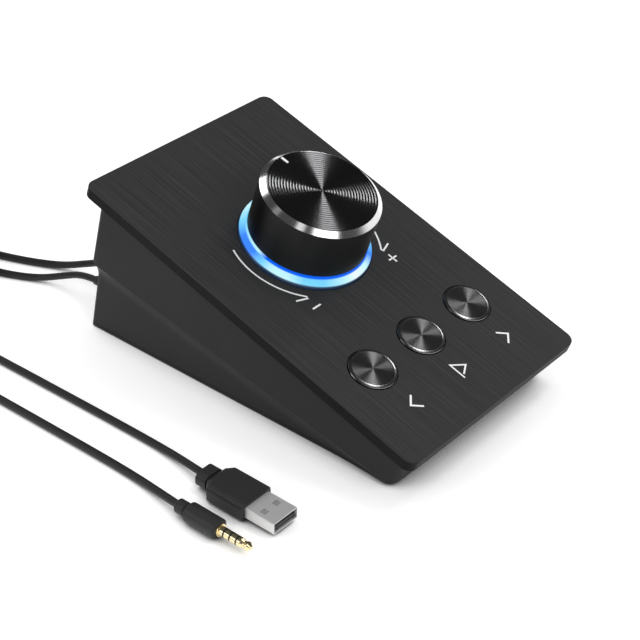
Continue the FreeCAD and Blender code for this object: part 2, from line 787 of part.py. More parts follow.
def flat_bore(sketch, radius, depth):
    """A round outline with one flat side, as on a shaft that must not slip."""
    r, cut = value(radius), value(depth)
    height = r - cut
    half = math.sqrt(r * r - height * height)
    start = math.atan2(height, -half)
    end = math.atan2(height, half) + 2 * math.pi
    ring = Part.Circle(Vector(0, 0, 0), Vector(0, 0, 1), r)
    sketch.addGeometry(Part.ArcOfCircle(ring, start, end))
    sketch.addGeometry(Part.LineSegment(Vector(half, height, 0), Vector(-half, height, 0)))


def build_knob_hub():
    """A disc under the knob's roof, with a ribbed boss that grips the shaft's flat."""
    body = new_body("knob_hub")
    rim = "(knob_radius - knob_wall)"
    disc = new_sketch(body, "disc", lift=KNOB_ROOF_UNDER)
    circle(disc, "0", "0", f"{rim} - flange_gap / 4")
    pad(body, disc, "hub_thickness", down=True)
    boss = new_sketch(body, "boss", lift="hub_boss_end")
    circle(boss, "0", "0", "hub_boss_radius")
    pad(body, boss, f"{KNOB_ROOF_UNDER} - hub_boss_end - hub_thickness / 2")
    ribs = new_sketch(body, "ribs", lift="(hub_boss_end + shaft_flat_start) / 2")
    long, short = f"({rim} - knob_wall)", "(hub_rib_width / 2)"
    polygon(ribs, [
        (short, short), (long, short), (long, f"-{short}"), (short, f"-{short}"),
        (short, f"-{long}"), (f"-{short}", f"-{long}"), (f"-{short}", f"-{short}"),
        (f"-{long}", f"-{short}"), (f"-{long}", short), (f"-{short}", short),
        (f"-{short}", long), (short, long),
    ])
    pad(body, ribs, f"{KNOB_ROOF_UNDER} - hub_thickness / 2 - (hub_boss_end + shaft_flat_start) / 2")
    bore = new_sketch(body, "round_bore", lift="hub_boss_end")
    circle(bore, "0", "0", "shaft_radius + shaft_gap")
    pocket(body, bore, "shaft_flat_start - hub_boss_end + shaft_gap", up=True)
    flat = new_sketch(body, "flat_bore", lift="shaft_flat_start")
    flat_bore(flat, "shaft_radius + shaft_gap", "shaft_flat_depth")
    pocket(body, flat, "shaft_top_height - shaft_flat_start", up=True)
    place_on_knob_axis(body)


def build_encoder():
    """Body with a chamber for the rotor, threaded bush, nut, washer, rotor and shaft."""
    body = new_body("encoder_body")
    half_x, half_y = "(encoder_width / 2)", "(encoder_depth / 2)"
    block = new_sketch(body, "block", lift=f"-{WELL_UNDER}")
    rectangle(block, f"-{half_x}", f"-{half_y}", half_x, half_y)
    pad(body, block, "encoder_height", down=True)
    bush = new_sketch(body, "bush", lift=f"-{WELL_UNDER}")
    circle(bush, "0", "0", "bush_radius")
    pad(body, bush, "bush_length")
    chamber_top = f"({WELL_UNDER} + encoder_height / 3)"
    chamber = f"({chamber_top} + rotor_thickness + 2 * rotor_gap)"
    bore = "(shaft_radius + shaft_gap)"
    tail = "(shaft_tail_radius + rotor_gap * 2)"
    outline = new_sketch(body, "chamber", role="YZ_Plane")
    polygon(outline, [
        ("0", f"bush_length - {WELL_UNDER} + shaft_gap"), (bore, f"bush_length - {WELL_UNDER} + shaft_gap"),
        (bore, f"-{chamber_top}"), ("rotor_radius + rotor_gap", f"-{chamber_top}"),
        ("rotor_radius + rotor_gap", f"-{chamber}"), (tail, f"-{chamber}"),
        (tail, f"-({WELL_UNDER} + encoder_height - plunger_gap * 5)"),
        ("0", f"-({WELL_UNDER} + encoder_height - plunger_gap * 5)"),
    ])
    before = body.Shape.Volume
    groove = body.newObject("PartDesign::Groove", "chamber_cut")
    groove.Profile = outline
    groove.ReferenceAxis = (outline, ["V_Axis"])
    groove.Angle = 360
    doc.recompute()
    if body.Shape.Volume > before - 1:
        raise RuntimeError("the encoder's chamber cuts nothing")
    place_on_knob_axis(body)

    rotor = new_body("encoder_rotor")
    disc = new_sketch(rotor, "disc", lift=f"-({chamber_top} + rotor_gap)")
    circle(disc, "0", "0", "rotor_radius")
    circle(disc, "0", "0", "shaft_tail_radius + shaft_gap")
    pad(rotor, disc, "rotor_thickness", down=True)
    place_on_knob_axis(rotor)

    shaft = new_body("encoder_shaft")
    lower = f"({chamber_top} - knob_travel - rotor_gap)"
    revolve(shaft, [
        ("0", "-(shaft_tail_end)"), ("shaft_tail_radius", "-(shaft_tail_end)"),
        ("shaft_tail_radius", f"-{lower}"), ("shaft_radius", f"-{lower}"),
        ("shaft_radius", "shaft_top_height"), ("0", "shaft_top_height"),
    ])
    flat = new_sketch(shaft, "flat", lift="shaft_flat_start")
    side = "(shaft_radius - shaft_flat_depth)"
    rectangle(flat, "-shaft_radius * 2", side, "shaft_radius * 2", "shaft_radius * 2")
    pocket(shaft, flat, "shaft_top_height - shaft_flat_start", up=True)
    place_on_knob_axis(shaft)

    washer = new_body("encoder_washer")
    plan = new_sketch(washer, "plan", lift=f"-{WELL_FLOOR}")
    circle(plan, "0", "0", "washer_radius")
    circle(plan, "0", "0", "bush_radius + shaft_gap")
    pad(washer, plan, "washer_thickness")
    place_on_knob_axis(washer)

    nut = new_body("encoder_nut")
    plan = new_sketch(nut, "plan", lift=f"-{WELL_FLOOR} + washer_thickness")
    across = "(nut_across_flats / 2 / cos(30 deg))"
    polygon(plan, [(f"{across} * cos({60 * i} deg)", f"{across} * sin({60 * i} deg)")
                   for i in range(6)])
    circle(plan, "0", "0", "bush_radius + shaft_gap")
    pad(nut, plan, "nut_thickness")
    place_on_knob_axis(nut)


def build_light_ring():
    """A clear ring with a sloping face, and a channel below that covers the lamps."""
    body = new_body("light_ring")
    board_top = f"({WELL_FLOOR} - light_board_thickness)"
    roof = f"({board_top} - ring_channel_height)"
    revolve(body, [
        (RING_INNER, f"-{board_top}"), (CHANNEL_INNER, f"-{board_top}"),
        (CHANNEL_INNER, f"-{roof}"), (CHANNEL_OUTER, f"-{roof}"),
        (CHANNEL_OUTER, f"-{board_top}"), ("ring_outer_radius", f"-{board_top}"),
        ("ring_outer_radius", "ring_shoulder"),
        ("ring_outer_radius - ring_slope_width / 2 + ring_slope_bulge",
         "(ring_height + ring_shoulder) / 2 + ring_slope_bulge"),
        ("ring_outer_radius - ring_slope_width", "ring_height"), (RING_INNER, "ring_height"),
    ])
    place_on_knob_axis(body)

    board = new_body("light_board")
    plan = new_sketch(board, "plan", lift=f"-{WELL_FLOOR}")
    circle(plan, "0", "0", f"{WELL_RADIUS} - light_board_gap")
    circle(plan, "0", "0", "light_board_bore")
    pad(board, plan, "light_board_thickness")
    place_on_knob_axis(board)

    lamps = new_body("ring_lamps")
    plan = new_sketch(lamps, "lamp", lift=f"-{board_top}")
    middle = f"(({CHANNEL_INNER} + {CHANNEL_OUTER}) / 2)"
    rectangle(plan, "-led_width / 2", f"{middle} - led_depth / 2",
              "led_width / 2", f"{middle} + led_depth / 2")
    first = pad(lamps, plan, "led_height")
    ring = lamps.newObject("PartDesign::PolarPattern", "round_the_ring")
    ring.Originals = [first]
    ring.Axis = (plan, ["N_Axis"])
    ring.Angle = 360
    ring.setExpression("Occurrences", bound("led_count"))
    lamps.Tip = ring
    doc.recompute()
    place_on_knob_axis(lamps)


# ---------------------------------------------------------------- buttons

def build_buttons():
    cap_bottom = "(plate_skin + button_seat_gap)"
    flange_bottom = f"({cap_bottom} + stem_flange_thickness)"
    switch_top = "(board_drop - switch_height)"
    for side, x in button_places():
        cap = new_body(f"button_cap_{side}")
        plan = new_sketch(cap, "disc", lift=f"-{cap_bottom}")
        circle(plan, x, BUTTON_Y, "button_radius")
        pad(cap, plan, f"{cap_bottom} + button_proud")
        top = value("button_proud")
        dress(cap, "Chamfer", edges_where(cap, lambda e: flat_at(e, top)), "button_bevel")
        slope_placement(cap)

        stem = new_body(f"button_stem_{side}")
        flange = new_sketch(stem, "flange", lift=f"-{cap_bottom}")
        circle(flange, x, BUTTON_Y, "stem_flange_radius")
        pad(stem, flange, "stem_flange_thickness", down=True)
        post = new_sketch(stem, "post", lift=f"-{flange_bottom}")
        circle(post, x, BUTTON_Y, "stem_radius")
        pad(stem, post, f"{switch_top} - plunger_rise - {flange_bottom}", down=True)
        slope_placement(stem)

        plunger = new_body(f"switch_plunger_{side}")
        pin = new_sketch(plunger, "pin", lift=f"-({switch_top} - plunger_rise)")
        circle(pin, x, BUTTON_Y, "plunger_radius")
        pad(plunger, pin, "plunger_rise + plunger_length", down=True)
        slope_placement(plunger)

    bodies = new_body("switch_bodies")
    plan = new_sketch(bodies, "blocks", lift="-board_drop")
    half = "(switch_width / 2)"
    for x, y in button_centres():
        rectangle(plan, f"{x} - {half}", f"{y} - {half}", f"{x} + {half}", f"{y} + {half}")
    pad(bodies, plan, "switch_height")
    wells = new_sketch(bodies, "plunger_wells", lift=f"-{switch_top}")
    circles(wells, button_centres(), "plunger_radius + plunger_gap")
    pocket(bodies, wells, "plunger_length + button_travel + plunger_gap")
    slope_placement(bodies)


# ---------------------------------------------------------------- main board

def build_main_board():
    board = new_body("main_board")
    plan = new_sketch(board, "plan", lift="-board_drop")
    rectangle(plan, f"-{BOARD_X}", BOARD_FRONT, BOARD_X, BOARD_REAR)
    circles(plan, standoff_places(), "board_screw_radius + pilot_gap * 2")
    pad(board, plan, "board_thickness", down=True)
    slope_placement(board)

    screws = new_body("board_screws")
    under = "(board_drop + board_thickness)"
    heads = new_sketch(screws, "heads", lift=f"-{under}")
    shanks = new_sketch(screws, "shanks", lift=f"-{under}")
    circles(heads, standoff_places(), "board_screw_head_radius")
    circles(shanks, standoff_places(), "board_screw_radius")
    pad(screws, heads, "board_screw_head_height", down=True)
    dress(screws, "Chamfer", edges_where(
        screws, lambda e: flat_at(e, -value(f"{under} + board_screw_head_height"))), "pilot_gap * 8")
    pad(screws, shanks, "board_screw_length")
    slope_placement(screws)

    headers = new_body("cable_headers")
    blocks = new_sketch(headers, "blocks", lift=f"-{under}")
    mouths = new_sketch(headers, "mouths", lift=f"-({under} + header_height)")
    for sketch, wall in ((blocks, "0"), (mouths, "header_wall")):
        for sign in (-1, 1):
            middle = f"({sign} * header_offset)"
            half_x, half_y = f"(header_width / 2 - {wall})", f"(header_depth / 2 - {wall})"
            y = f"({BOARD_REAR} - header_inset)"
            rectangle(sketch, f"{middle} - {half_x}", f"{y} - {half_y}",
                      f"{middle} + {half_x}", f"{y} + {half_y}")
    pad(headers, blocks, "header_height", down=True)
    pocket(headers, mouths, "header_height - header_wall", up=True)
    slope_placement(headers)

    chips = new_body("board_chips")
    plan = new_sketch(chips, "packages", lift=f"-{under}")
    for x, y, half_width, half_depth in CHIPS:
        rectangle(plan, f"{x} - {half_width}", f"{y} - {half_depth}",
                  f"{x} + {half_width}", f"{y} + {half_depth}")
    pad(chips, plan, "chip_height", down=True)
    slope_placement(chips)


# ---------------------------------------------------------------- strain reliefs and plugs

def rear_wall_y(height):
    """Where the recessed rear wall stands along the desk, at a height above it."""
    angle, tilt = math.radians(value("crease_angle")), math.radians(value("plate_tilt"))
    start = Vector(value(crease_end(1)), -value(crease_drop(crease_end(1))), 0)
    start -= Vector(math.cos(angle), -math.sin(angle), 0) * value("recess")
    step = Vector(-math.sin(angle), -math.cos(angle), 0)
    rise = start.x * math.sin(tilt) + start.y * math.cos(tilt) + value("plate_height") - height
    fall = -(step.x * math.sin(tilt) + step.y * math.cos(tilt))
    spot = start + step * (rise / fall)
    return spot.x * math.cos(tilt) - spot.y * math.sin(tilt) + value("plate_centre_y")


RELIEF_START_Y = rear_wall_y(value("exit_height"))


def build_strain_reliefs():
    """A tapered, ringed sleeve through the rear wall, with a collar inside that holds it."""
    inner = "(housing_wall * 2 + relief_collar_length)"
    neck = "(housing_wall * 2)"
    for name, x in (("usb", USB_EXIT_X), ("audio", AUDIO_EXIT_X)):
        body = new_body(f"{name}_strain_relief")
        waist = "(relief_tip_radius - relief_groove_depth)"
        outline = [
            ("0", f"-{inner}"), ("relief_collar_radius", f"-{inner}"),
            ("relief_collar_radius", f"-{neck}"), ("relief_root_radius", f"-{neck}"),
            ("relief_root_radius", "relief_length * 0.25"),
        ]
        for start in (0.32, 0.52, 0.72):
            outline += [(waist, f"relief_length * {start}"),
                        (waist, f"relief_length * {start + 0.07}"),
                        ("relief_tip_radius", f"relief_length * {start + 0.11}")]
        outline += [("relief_tip_radius", "relief_length"), ("0", "relief_length")]
        revolve(body, outline, role="XY_Plane", axis="V_Axis")
        body.Placement = Placement(Vector(value(x), RELIEF_START_Y, value("exit_height")), Rotation())
        body.setExpression("Placement.Base.x", bound(x))
        body.setExpression("Placement.Base.z", bound("exit_height"))


def oblong(sketch, width, height):
    rectangle(sketch, f"-{width} / 2", f"-{height} / 2", f"{width} / 2", f"{height} / 2")


def lengthwise(edge):
    """A straight edge that runs along the plug."""
    if edge.Curve.TypeId != "Part::GeomLine":
        return False
    return abs(edge.tangentAt(edge.FirstParameter).y) > 0.9


def place_usb(body):
    desk_placement(body, "usb_plug_x", "usb_plug_y", "usb_grip_height / 2")


def build_usb_plug():
    """Drawn about the plug's axis, with the cord's end at zero and the plug towards -Y."""
    groove = "(usb_collar_length + usb_groove_length)"
    root = f"({groove} + usb_grip_length)"
    grip = new_body("usb_grip")
    plan = new_sketch(grip, "grip", lift="usb_grip_height / 2")
    wide, narrow = "(usb_grip_width / 2)", "(usb_collar_width / 2)"
    polygon(plan, [
        (f"-{narrow}", f"-{groove}"), (f"-{wide}", f"-({groove} + usb_grip_shoulder)"),
        (f"-{wide}", f"-{root}"), (wide, f"-{root}"),
        (wide, f"-({groove} + usb_grip_shoulder)"), (narrow, f"-{groove}"),
    ])
    pad(grip, plan, "usb_grip_height", down=True)
    front, top = -value(root), value("usb_grip_height / 2")
    dress(grip, "Fillet", edges_where(grip, lambda e: (flat_at(e, top) or flat_at(e, -top))
                                      and e.BoundBox.YMax > front + SAME), "usb_grip_corner")
    dress(grip, "Chamfer", edges_where(grip, lambda e: e.BoundBox.YMax < front + SAME),
          "usb_grip_bevel")
    neck = new_sketch(grip, "neck", role="XZ_Plane", lift="usb_collar_length / 2")
    oblong(neck, "(usb_collar_width - usb_groove_length * 2)",
           "(usb_collar_height - usb_groove_length * 2)")
    pad(grip, neck, f"{groove}")
    collar = new_sketch(grip, "collar", role="XZ_Plane")
    oblong(collar, "usb_collar_width", "usb_collar_height")
    pad(grip, collar, "usb_collar_length")
    rounded = edges_where(grip, lambda e: lengthwise(e) and e.BoundBox.YMax > -SAME)
    dress(grip, "Fillet", rounded, "usb_collar_height * 0.4")
    place_usb(grip)

    shell = new_body("usb_shell")
    outer = new_sketch(shell, "tube", role="XZ_Plane", lift=root)
    oblong(outer, "usb_shell_width", "usb_shell_height")
    pad(shell, outer, "usb_shell_length")
    dress(shell, "Fillet", edges_where(shell, lengthwise), "usb_shell_wall * 1.5")
    inner = new_sketch(shell, "mouth", role="XZ_Plane", lift=f"{root} + usb_shell_length")
    oblong(inner, "(usb_shell_width - 2 * usb_shell_wall)", "(usb_shell_height - 2 * usb_shell_wall)")
    pocket(shell, inner, "usb_shell_length")
    windows = new_sketch(shell, "windows", lift="usb_shell_height")
    middle = f"-({root} + usb_window_setback)"
    half = "(usb_window_size / 2)"
    for sign in (-1, 1):
        x = f"({sign} * usb_window_pitch / 2)"
        rectangle(windows, f"{x} - {half}", f"{middle} - {half}", f"{x} + {half}", f"{middle} + {half}")
    pocket(shell, windows, "usb_shell_height * 2")
    place_usb(shell)

    tongue = new_body("usb_tongue")
    gap = "(usb_shell_wall + pilot_gap)"
    face = new_sketch(tongue, "bar", role="XZ_Plane", lift=root)
    low = f"-(usb_shell_height / 2 - {gap})"
    side = f"(usb_shell_width / 2 - {gap} * 1.5)"
    rectangle(face, f"-{side}", low, side, f"{low} + usb_tongue_height")
    pad(tongue, face, "usb_shell_length - usb_tongue_setback")
    place_usb(tongue)

    contacts = new_body("usb_contacts")
    plan = new_sketch(contacts, "strips", lift=f"{low} + usb_tongue_height")
    near = f"-({root} + usb_shell_length - usb_tongue_setback * 2)"
    for i in (-1.5, -0.5, 0.5, 1.5):
        x = f"({i} * usb_contact_pitch)"
        rectangle(plan, f"{x} - usb_contact_width / 2", near,
                  f"{x} + usb_contact_width / 2", f"{near} + usb_contact_length")
    pad(contacts, plan, "usb_contact_thickness")
    place_usb(contacts)


def place_audio(body):
    desk_placement(body, "audio_plug_x", "audio_plug_y", "audio_grip_radius")


def build_audio_plug():
    """Turned pieces along one axis: the grip, then sleeve, rings and tip between insulators."""
    groove = "(audio_collar_length + audio_groove_length)"
    root = f"({groove} + audio_grip_length)"
    grip = new_body("audio_grip")
    waist = "(audio_collar_radius - audio_groove_length / 2)"
    soft = "(audio_groove_length / 2)"
    revolve(grip, [
        ("0", "0"), (f"audio_collar_radius - {soft}", "0"), ("audio_collar_radius", f"-{soft}"),
        ("audio_collar_radius", f"-(audio_collar_length - {soft})"),
        (waist, "-audio_collar_length"), (waist, f"-{groove}"),
        (f"audio_grip_radius - {soft} * 2", f"-{groove}"),
        ("audio_grip_radius", f"-({groove} + {soft} * 2)"),
        ("audio_grip_radius", f"-({root} - {soft} * 2)"),
        (f"audio_grip_radius - {soft} * 2", f"-{root}"),
        ("0", f"-{root}"),
    ], role="XY_Plane")
    place_audio(grip)

    def disc(label, start, length, radius="pole_radius"):
        body = new_body(label)
        revolve(body, [("0", f"-({start})"), (radius, f"-({start})"),
                       (radius, f"-({start} + {length})"), ("0", f"-({start} + {length})")],
                role="XY_Plane")
        place_audio(body)
        return f"({start} + {length})"

    sleeve = new_body("plug_sleeve")
    revolve(sleeve, [
        ("0", f"-{root}"), ("pole_flange_radius", f"-{root}"),
        ("pole_flange_radius", f"-({root} + pole_flange_length)"),
        ("pole_radius", f"-({root} + pole_flange_length)"),
        ("pole_radius", f"-({root} + sleeve_length)"), ("0", f"-({root} + sleeve_length)"),
    ], role="XY_Plane")
    place_audio(sleeve)
    first_band = f"({root} + sleeve_length)"
    second_ring = f"({first_band} + insulator_length)"
    second_band = disc("plug_second_ring", second_ring, "second_ring_length")
    first_ring = f"({second_band} + insulator_length)"
    third_band = disc("plug_first_ring", first_ring, "first_ring_length")
    tip_start = f"({third_band} + insulator_length)"

    bands = new_body("plug_insulators")
    for i, start in enumerate((first_band, second_band, third_band)):
        plan = new_sketch(bands, f"band_{i}", role="XZ_Plane", lift=start)
        circle(plan, "0", "0", "pole_radius")
        pad(bands, plan, "insulator_length")
    place_audio(bands)

    tip = new_body("plug_tip")
    r = "pole_radius"
    revolve(tip, [
        ("0", f"-{tip_start}"), (r, f"-{tip_start}"), (r, f"-({tip_start} + tip_length * 0.22)"),
        (f"{r} * 0.74", f"-({tip_start} + tip_length * 0.42)"),
        (f"{r} * 0.74", f"-({tip_start} + tip_length * 0.5)"),
        (f"{r} * 0.98", f"-({tip_start} + tip_length * 0.66)"),
        (f"{r} * 0.98", f"-({tip_start} + tip_length * 0.74)"),
        (f"{r} * 0.34", f"-({tip_start} + tip_length)"), ("0", f"-({tip_start} + tip_length)"),
    ], role="XY_Plane")
    place_audio(tip)


# ---------------------------------------------------------------- cords

def new_shape(label, shape):
    """A piece whose shape is made here, from the sheet's sizes."""
    feature = doc.addObject("Part::Feature", label)
    feature.Label = label
    feature.Shape = shape
    feature.Placement = Placement(Vector(0, 0, 0), Rotation())
    parts.append(feature)
    return feature


def tube(label, points, diameter):
    """A round cord along straight runs joined by arcs as large as the runs allow."""
    spots = [Vector(*p) for p in points]
    edges = []
    here = spots[0]
    radii = []
    for before, corner, after in zip(spots, spots[1:], spots[2:]):
        run_in, run_out = corner - before, after - corner
        turn = run_in.getAngle(run_out)
        cut = 0.45 * min(run_in.Length, run_out.Length)
        radii.append(cut / math.tan(turn / 2))
        start = corner - run_in.normalize() * cut
        end = corner + run_out.normalize() * cut
        towards = (start + end) * 0.5 - corner
        centre_gap = math.hypot(cut, radii[-1])
        middle = corner + towards.normalize() * (centre_gap - radii[-1])
        edges.append(Part.LineSegment(here, start).toShape())
        edges.append(Part.Arc(start, middle, end).toShape())
        here = end
    edges.append(Part.LineSegment(here, spots[-1]).toShape())
    path = Part.Wire(edges)
    section = Part.Wire(Part.Circle(spots[0], spots[1] - spots[0], diameter / 2).toShape())
    solid = path.makePipeShell([section], True, False)
    expected = math.pi * diameter ** 2 / 4 * path.Length
    if abs(solid.Volume / expected - 1) > 0.01:
        raise RuntimeError(f"{label}: volume {solid.Volume:.1f}, expected {expected:.1f}")
    print(f"{label}: length {path.Length:.1f}, radii", " ".join(f"{r:.0f}" for r in radii))
    new_shape(label, solid)
    return path.Length


def coil_ends(name):
    """Inner and outer middle radius of the coil's turns, and the height of its top turn."""
    diameter = value(f"{name}_cord_diameter")
    half_span = value(f"{name}_coil_turns") / value("coil_layers") * diameter / 2
    middle = value("coil_middle_radius")
    top = diameter * (value("coil_layers") - 0.5)
    return middle - half_span, middle + half_span, top


def build_coil(name):
    """The outer shape of a neat round coil that lies on the desk."""
    body = new_body(f"{name}_coil")
    diameter = f"{name}_cord_diameter"
    half = f"({name}_coil_turns / coil_layers * {diameter} / 2 + {diameter} / 2)"
    inner, outer = f"(coil_middle_radius - {half})", f"(coil_middle_radius + {half})"
    top, soft = f"({diameter} * coil_layers)", f"({diameter} / 3)"
    revolve(body, [
        (f"{inner} + {soft}", "0"), (f"{outer} - {soft}", "0"), (outer, soft),
        (outer, f"{top} - {soft}"), (f"{outer} - {soft}", top), (f"{inner} + {soft}", top),
        (inner, f"{top} - {soft}"), (inner, soft),
    ])
    desk_placement(body, f"{name}_coil_x", f"{name}_coil_y")


def build_cord(name, tail, lead, entry_angle, plug_height):
    """Strain relief to coil, the coil, and coil to plug."""
    diameter = value(f"{name}_cord_diameter")
    _, outer, top = coil_ends(name)
    x, y = value(f"{name}_coil_x"), value(f"{name}_coil_y")
    angle = math.radians(entry_angle)
    enter = (x + outer * math.cos(angle), y + outer * math.sin(angle), diameter / 2)
    leave = (x - outer, y, top)
    exit_x = value({"usb": USB_EXIT_X, "audio": AUDIO_EXIT_X}[name])
    start = (exit_x, RELIEF_START_Y + value("relief_length"), value("exit_height"))
    plug = (value(f"{name}_plug_x"), value(f"{name}_plug_y"), plug_height)
    length = tube(f"{name}_cord_tail", [start, *tail, enter], diameter)
    length += tube(f"{name}_cord_lead", [leave, *lead, plug], diameter)
    build_coil(name)
    length += 2 * math.pi * value("coil_middle_radius") * value(f"{name}_coil_turns")
    print(f"{name} cord: {length:.0f} mm from strain relief to plug")


# ---------------------------------------------------------------- build, check, write

build_housing()
build_bottom_cover()
build_feet_and_screws()
build_top_plate()
build_knob_cap()
build_knob_hub()
build_encoder()
build_light_ring()
build_buttons()
build_main_board()
build_strain_reliefs()
build_usb_plug()
build_audio_plug()
build_cord("usb", USB_TAIL_POINTS, USB_LEAD_POINTS, 0.0, value("usb_grip_height / 2"))
build_cord("audio", AUDIO_TAIL_POINTS, AUDIO_LEAD_POINTS, value("audio_coil_entry_angle"),
           value("audio_grip_radius"))
doc.recompute()

for thing in doc.Objects:
    if {"Invalid", "Error"} & set(thing.State):
        raise RuntimeError(f"{thing.Label} did not compute: {thing.State}")
for part in parts:
    if part.Shape.isNull() or not part.Shape.isValid():
        raise RuntimeError(f"{part.Label} has no valid shape")

os.makedirs("parts", exist_ok=True)
for part in parts:
    part.Shape.exportStep(f"parts/{part.Label}.step")
    box = part.Shape.BoundBox
    print(f"{part.Label}: {len(part.Shape.Solids)} solid(s), {part.Shape.Volume:.0f} mm3,"
          f" x {box.XMin:.1f}..{box.XMax:.1f} y {box.YMin:.1f}..{box.YMax:.1f}"
          f" z {box.ZMin:.1f}..{box.ZMax:.1f}")
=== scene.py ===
# %% [markdown]
# # A desk volume control in cells
#
# The object is a wedge of black moulded plastic with a brushed metal plate on top. A turned metal
# knob stands in a lit ring, three turned buttons sit in a row below it, and two cords leave the
# rear, one to a USB plug and one to a four-pole audio plug.
#
# The rigid parts come from the engineering model, and they are already in their places. This
# script dresses them: it gives each one the finish of the real part, and it makes what solid
# modelling leaves plain, such as the grooves of the knob, the printed marks and the flexible
# cords. Everything is in metres. The object stands on the floor at height zero with its rear
# towards +Y.

# %%
import math

import bmesh
import bpy
from mathutils import Matrix, Vector


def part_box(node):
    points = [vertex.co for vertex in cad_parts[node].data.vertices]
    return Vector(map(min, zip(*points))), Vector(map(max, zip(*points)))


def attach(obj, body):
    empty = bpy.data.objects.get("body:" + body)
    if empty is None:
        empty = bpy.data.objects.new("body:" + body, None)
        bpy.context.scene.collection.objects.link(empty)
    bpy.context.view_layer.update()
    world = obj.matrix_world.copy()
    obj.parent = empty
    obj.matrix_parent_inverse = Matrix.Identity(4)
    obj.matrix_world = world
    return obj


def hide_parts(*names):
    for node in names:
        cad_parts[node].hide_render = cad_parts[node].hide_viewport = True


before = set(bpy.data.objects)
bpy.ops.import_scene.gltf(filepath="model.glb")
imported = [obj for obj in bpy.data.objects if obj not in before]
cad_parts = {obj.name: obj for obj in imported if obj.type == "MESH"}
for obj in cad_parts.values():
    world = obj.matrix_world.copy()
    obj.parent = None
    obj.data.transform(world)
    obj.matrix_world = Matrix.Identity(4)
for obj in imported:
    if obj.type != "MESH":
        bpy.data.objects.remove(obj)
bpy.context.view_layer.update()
print(len(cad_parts), "parts from the engineering model")

# %% [markdown]
# ## Millimetres and the slope of the plate
# A maker thinks in millimetres and along the plate, because every control is laid out on it. One
# matrix turns a place on the plate (across, along, up from its skin) into a place in the room.
# The plate's place could be typed in as numbers, but then it would be wrong as soon as the model
# changes. So it is found from the plate's own corner points: the highest of them, measured square
# to the slope, lie on the skin, and the first and last along the slope lie on its two ends.

# %%
MM = 0.001
TILT = math.radians(18)
plate_up = Vector((0, -math.sin(TILT), math.cos(TILT)))
plate_along = Vector((0, math.cos(TILT), math.sin(TILT)))


def mm(*numbers):
    """Millimetres as a vector in metres."""
    return Vector(numbers) * MM


plate_points = [point.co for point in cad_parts["top_plate"].data.vertices]
skin_height = max(point.dot(plate_up) for point in plate_points)
ends = [point.dot(plate_along) for point in plate_points]
plate_middle = plate_up * skin_height + plate_along * (min(ends) + max(ends)) / 2
slope = Matrix.Translation(plate_middle) @ Matrix.Rotation(TILT, 4, "X")
print("middle of the plate, mm:", [round(c / MM, 2) for c in plate_middle])

# %%
KNOB_OFFSET = 14 * MM
BUTTON_OFFSET = -44 * MM
BUTTON_PITCH = 28 * MM
knob_seat = slope @ Matrix.Translation((0, KNOB_OFFSET, 0))
print("foot of the knob, mm:", [round(c / MM, 2) for c in knob_seat.translation])

# %% [markdown]
# ## The camera
# A long lens from well above the front left corner keeps the sides nearly parallel, as product
# pictures do. A camera is often aimed by three angles, but those are hard to read. Here it is
# placed by two directions, where it looks and where its right hand points, so a slight roll is
# part of the same matrix.

# %%
LENS = 94.47
SENSOR_WIDTH = 36
eye = mm(-409.0, -334.2, 371.7)
looks_along = Vector((0.6422, 0.5257, -0.5579)).normalized()
right_hand = Vector((0.6429, -0.7658, 0.0184)).normalized()
upwards = right_hand.cross(looks_along).normalized()


def in_room(name, data):
    """A new object with this data, placed in the room."""
    made = bpy.data.objects.new(name, data)
    bpy.context.collection.objects.link(made)
    return made


camera_data = bpy.data.cameras.new("camera")
camera_data.lens = LENS
camera_data.sensor_width = SENSOR_WIDTH
camera = in_room("camera", camera_data)
turn = Matrix((right_hand, upwards, -looks_along)).transposed().to_4x4()
camera.matrix_world = Matrix.Translation(eye) @ turn
bpy.context.scene.camera = camera
print("camera stands", round(eye.length, 3), "m from the object")

# %% [markdown]
# ## Building blocks for shaders
# A shader is a chain of small nodes. Wired one by one, a finish takes dozens of lines in which
# the idea is hard to see. These few helpers each make one kind of node and hand back its output,
# so a chain reads like a sum: a value, a share of a range, two colours blended by that share.

# %%
def node(made, kind, **settings):
    """A new shader node. Each name is one of its inputs, with _ for a space, or a setting."""
    new = made.node_tree.nodes.new(kind)
    for name, value in settings.items():
        socket = name.replace("_", " ")
        if socket in new.inputs:
            new.inputs[socket].default_value = value
        else:
            setattr(new, name, value)
    return new


def link(made, value, target):
    """Feeds an input with another node's output or with a plain value."""
    if isinstance(value, bpy.types.NodeSocket):
        made.node_tree.links.new(value, target)
    else:
        target.default_value = value


def calculate(made, operation, first, second, use_clamp=False):
    """A sum on two numbers."""
    step = node(made, "ShaderNodeMath", operation=operation, use_clamp=use_clamp)
    link(made, first, step.inputs[0])
    link(made, second, step.inputs[1])
    return step.outputs[0]


def vectors(made, operation, first, second):
    """A sum on two vectors."""
    step = node(made, "ShaderNodeVectorMath", operation=operation)
    link(made, first, step.inputs[0])
    link(made, second, step.inputs[1])
    return step.outputs[0]


def between(made, value, low, high, first=0.0, last=1.0):
    """Runs from first to last while the value goes from low to high."""
    share = node(made, "ShaderNodeMapRange",
                 From_Min=low, From_Max=high, To_Min=first, To_Max=last)
    link(made, value, share.inputs["Value"])
    return share.outputs["Result"]


def blend(made, share, first, second, blend_type="MIX"):
    """Two colours mixed by a share."""
    mix = node(made, "ShaderNodeMix", data_type="RGBA", blend_type=blend_type)
    link(made, share, mix.inputs["Factor"])
    link(made, first, mix.inputs["A"])
    link(made, second, mix.inputs["B"])
    return mix.outputs["Result"]


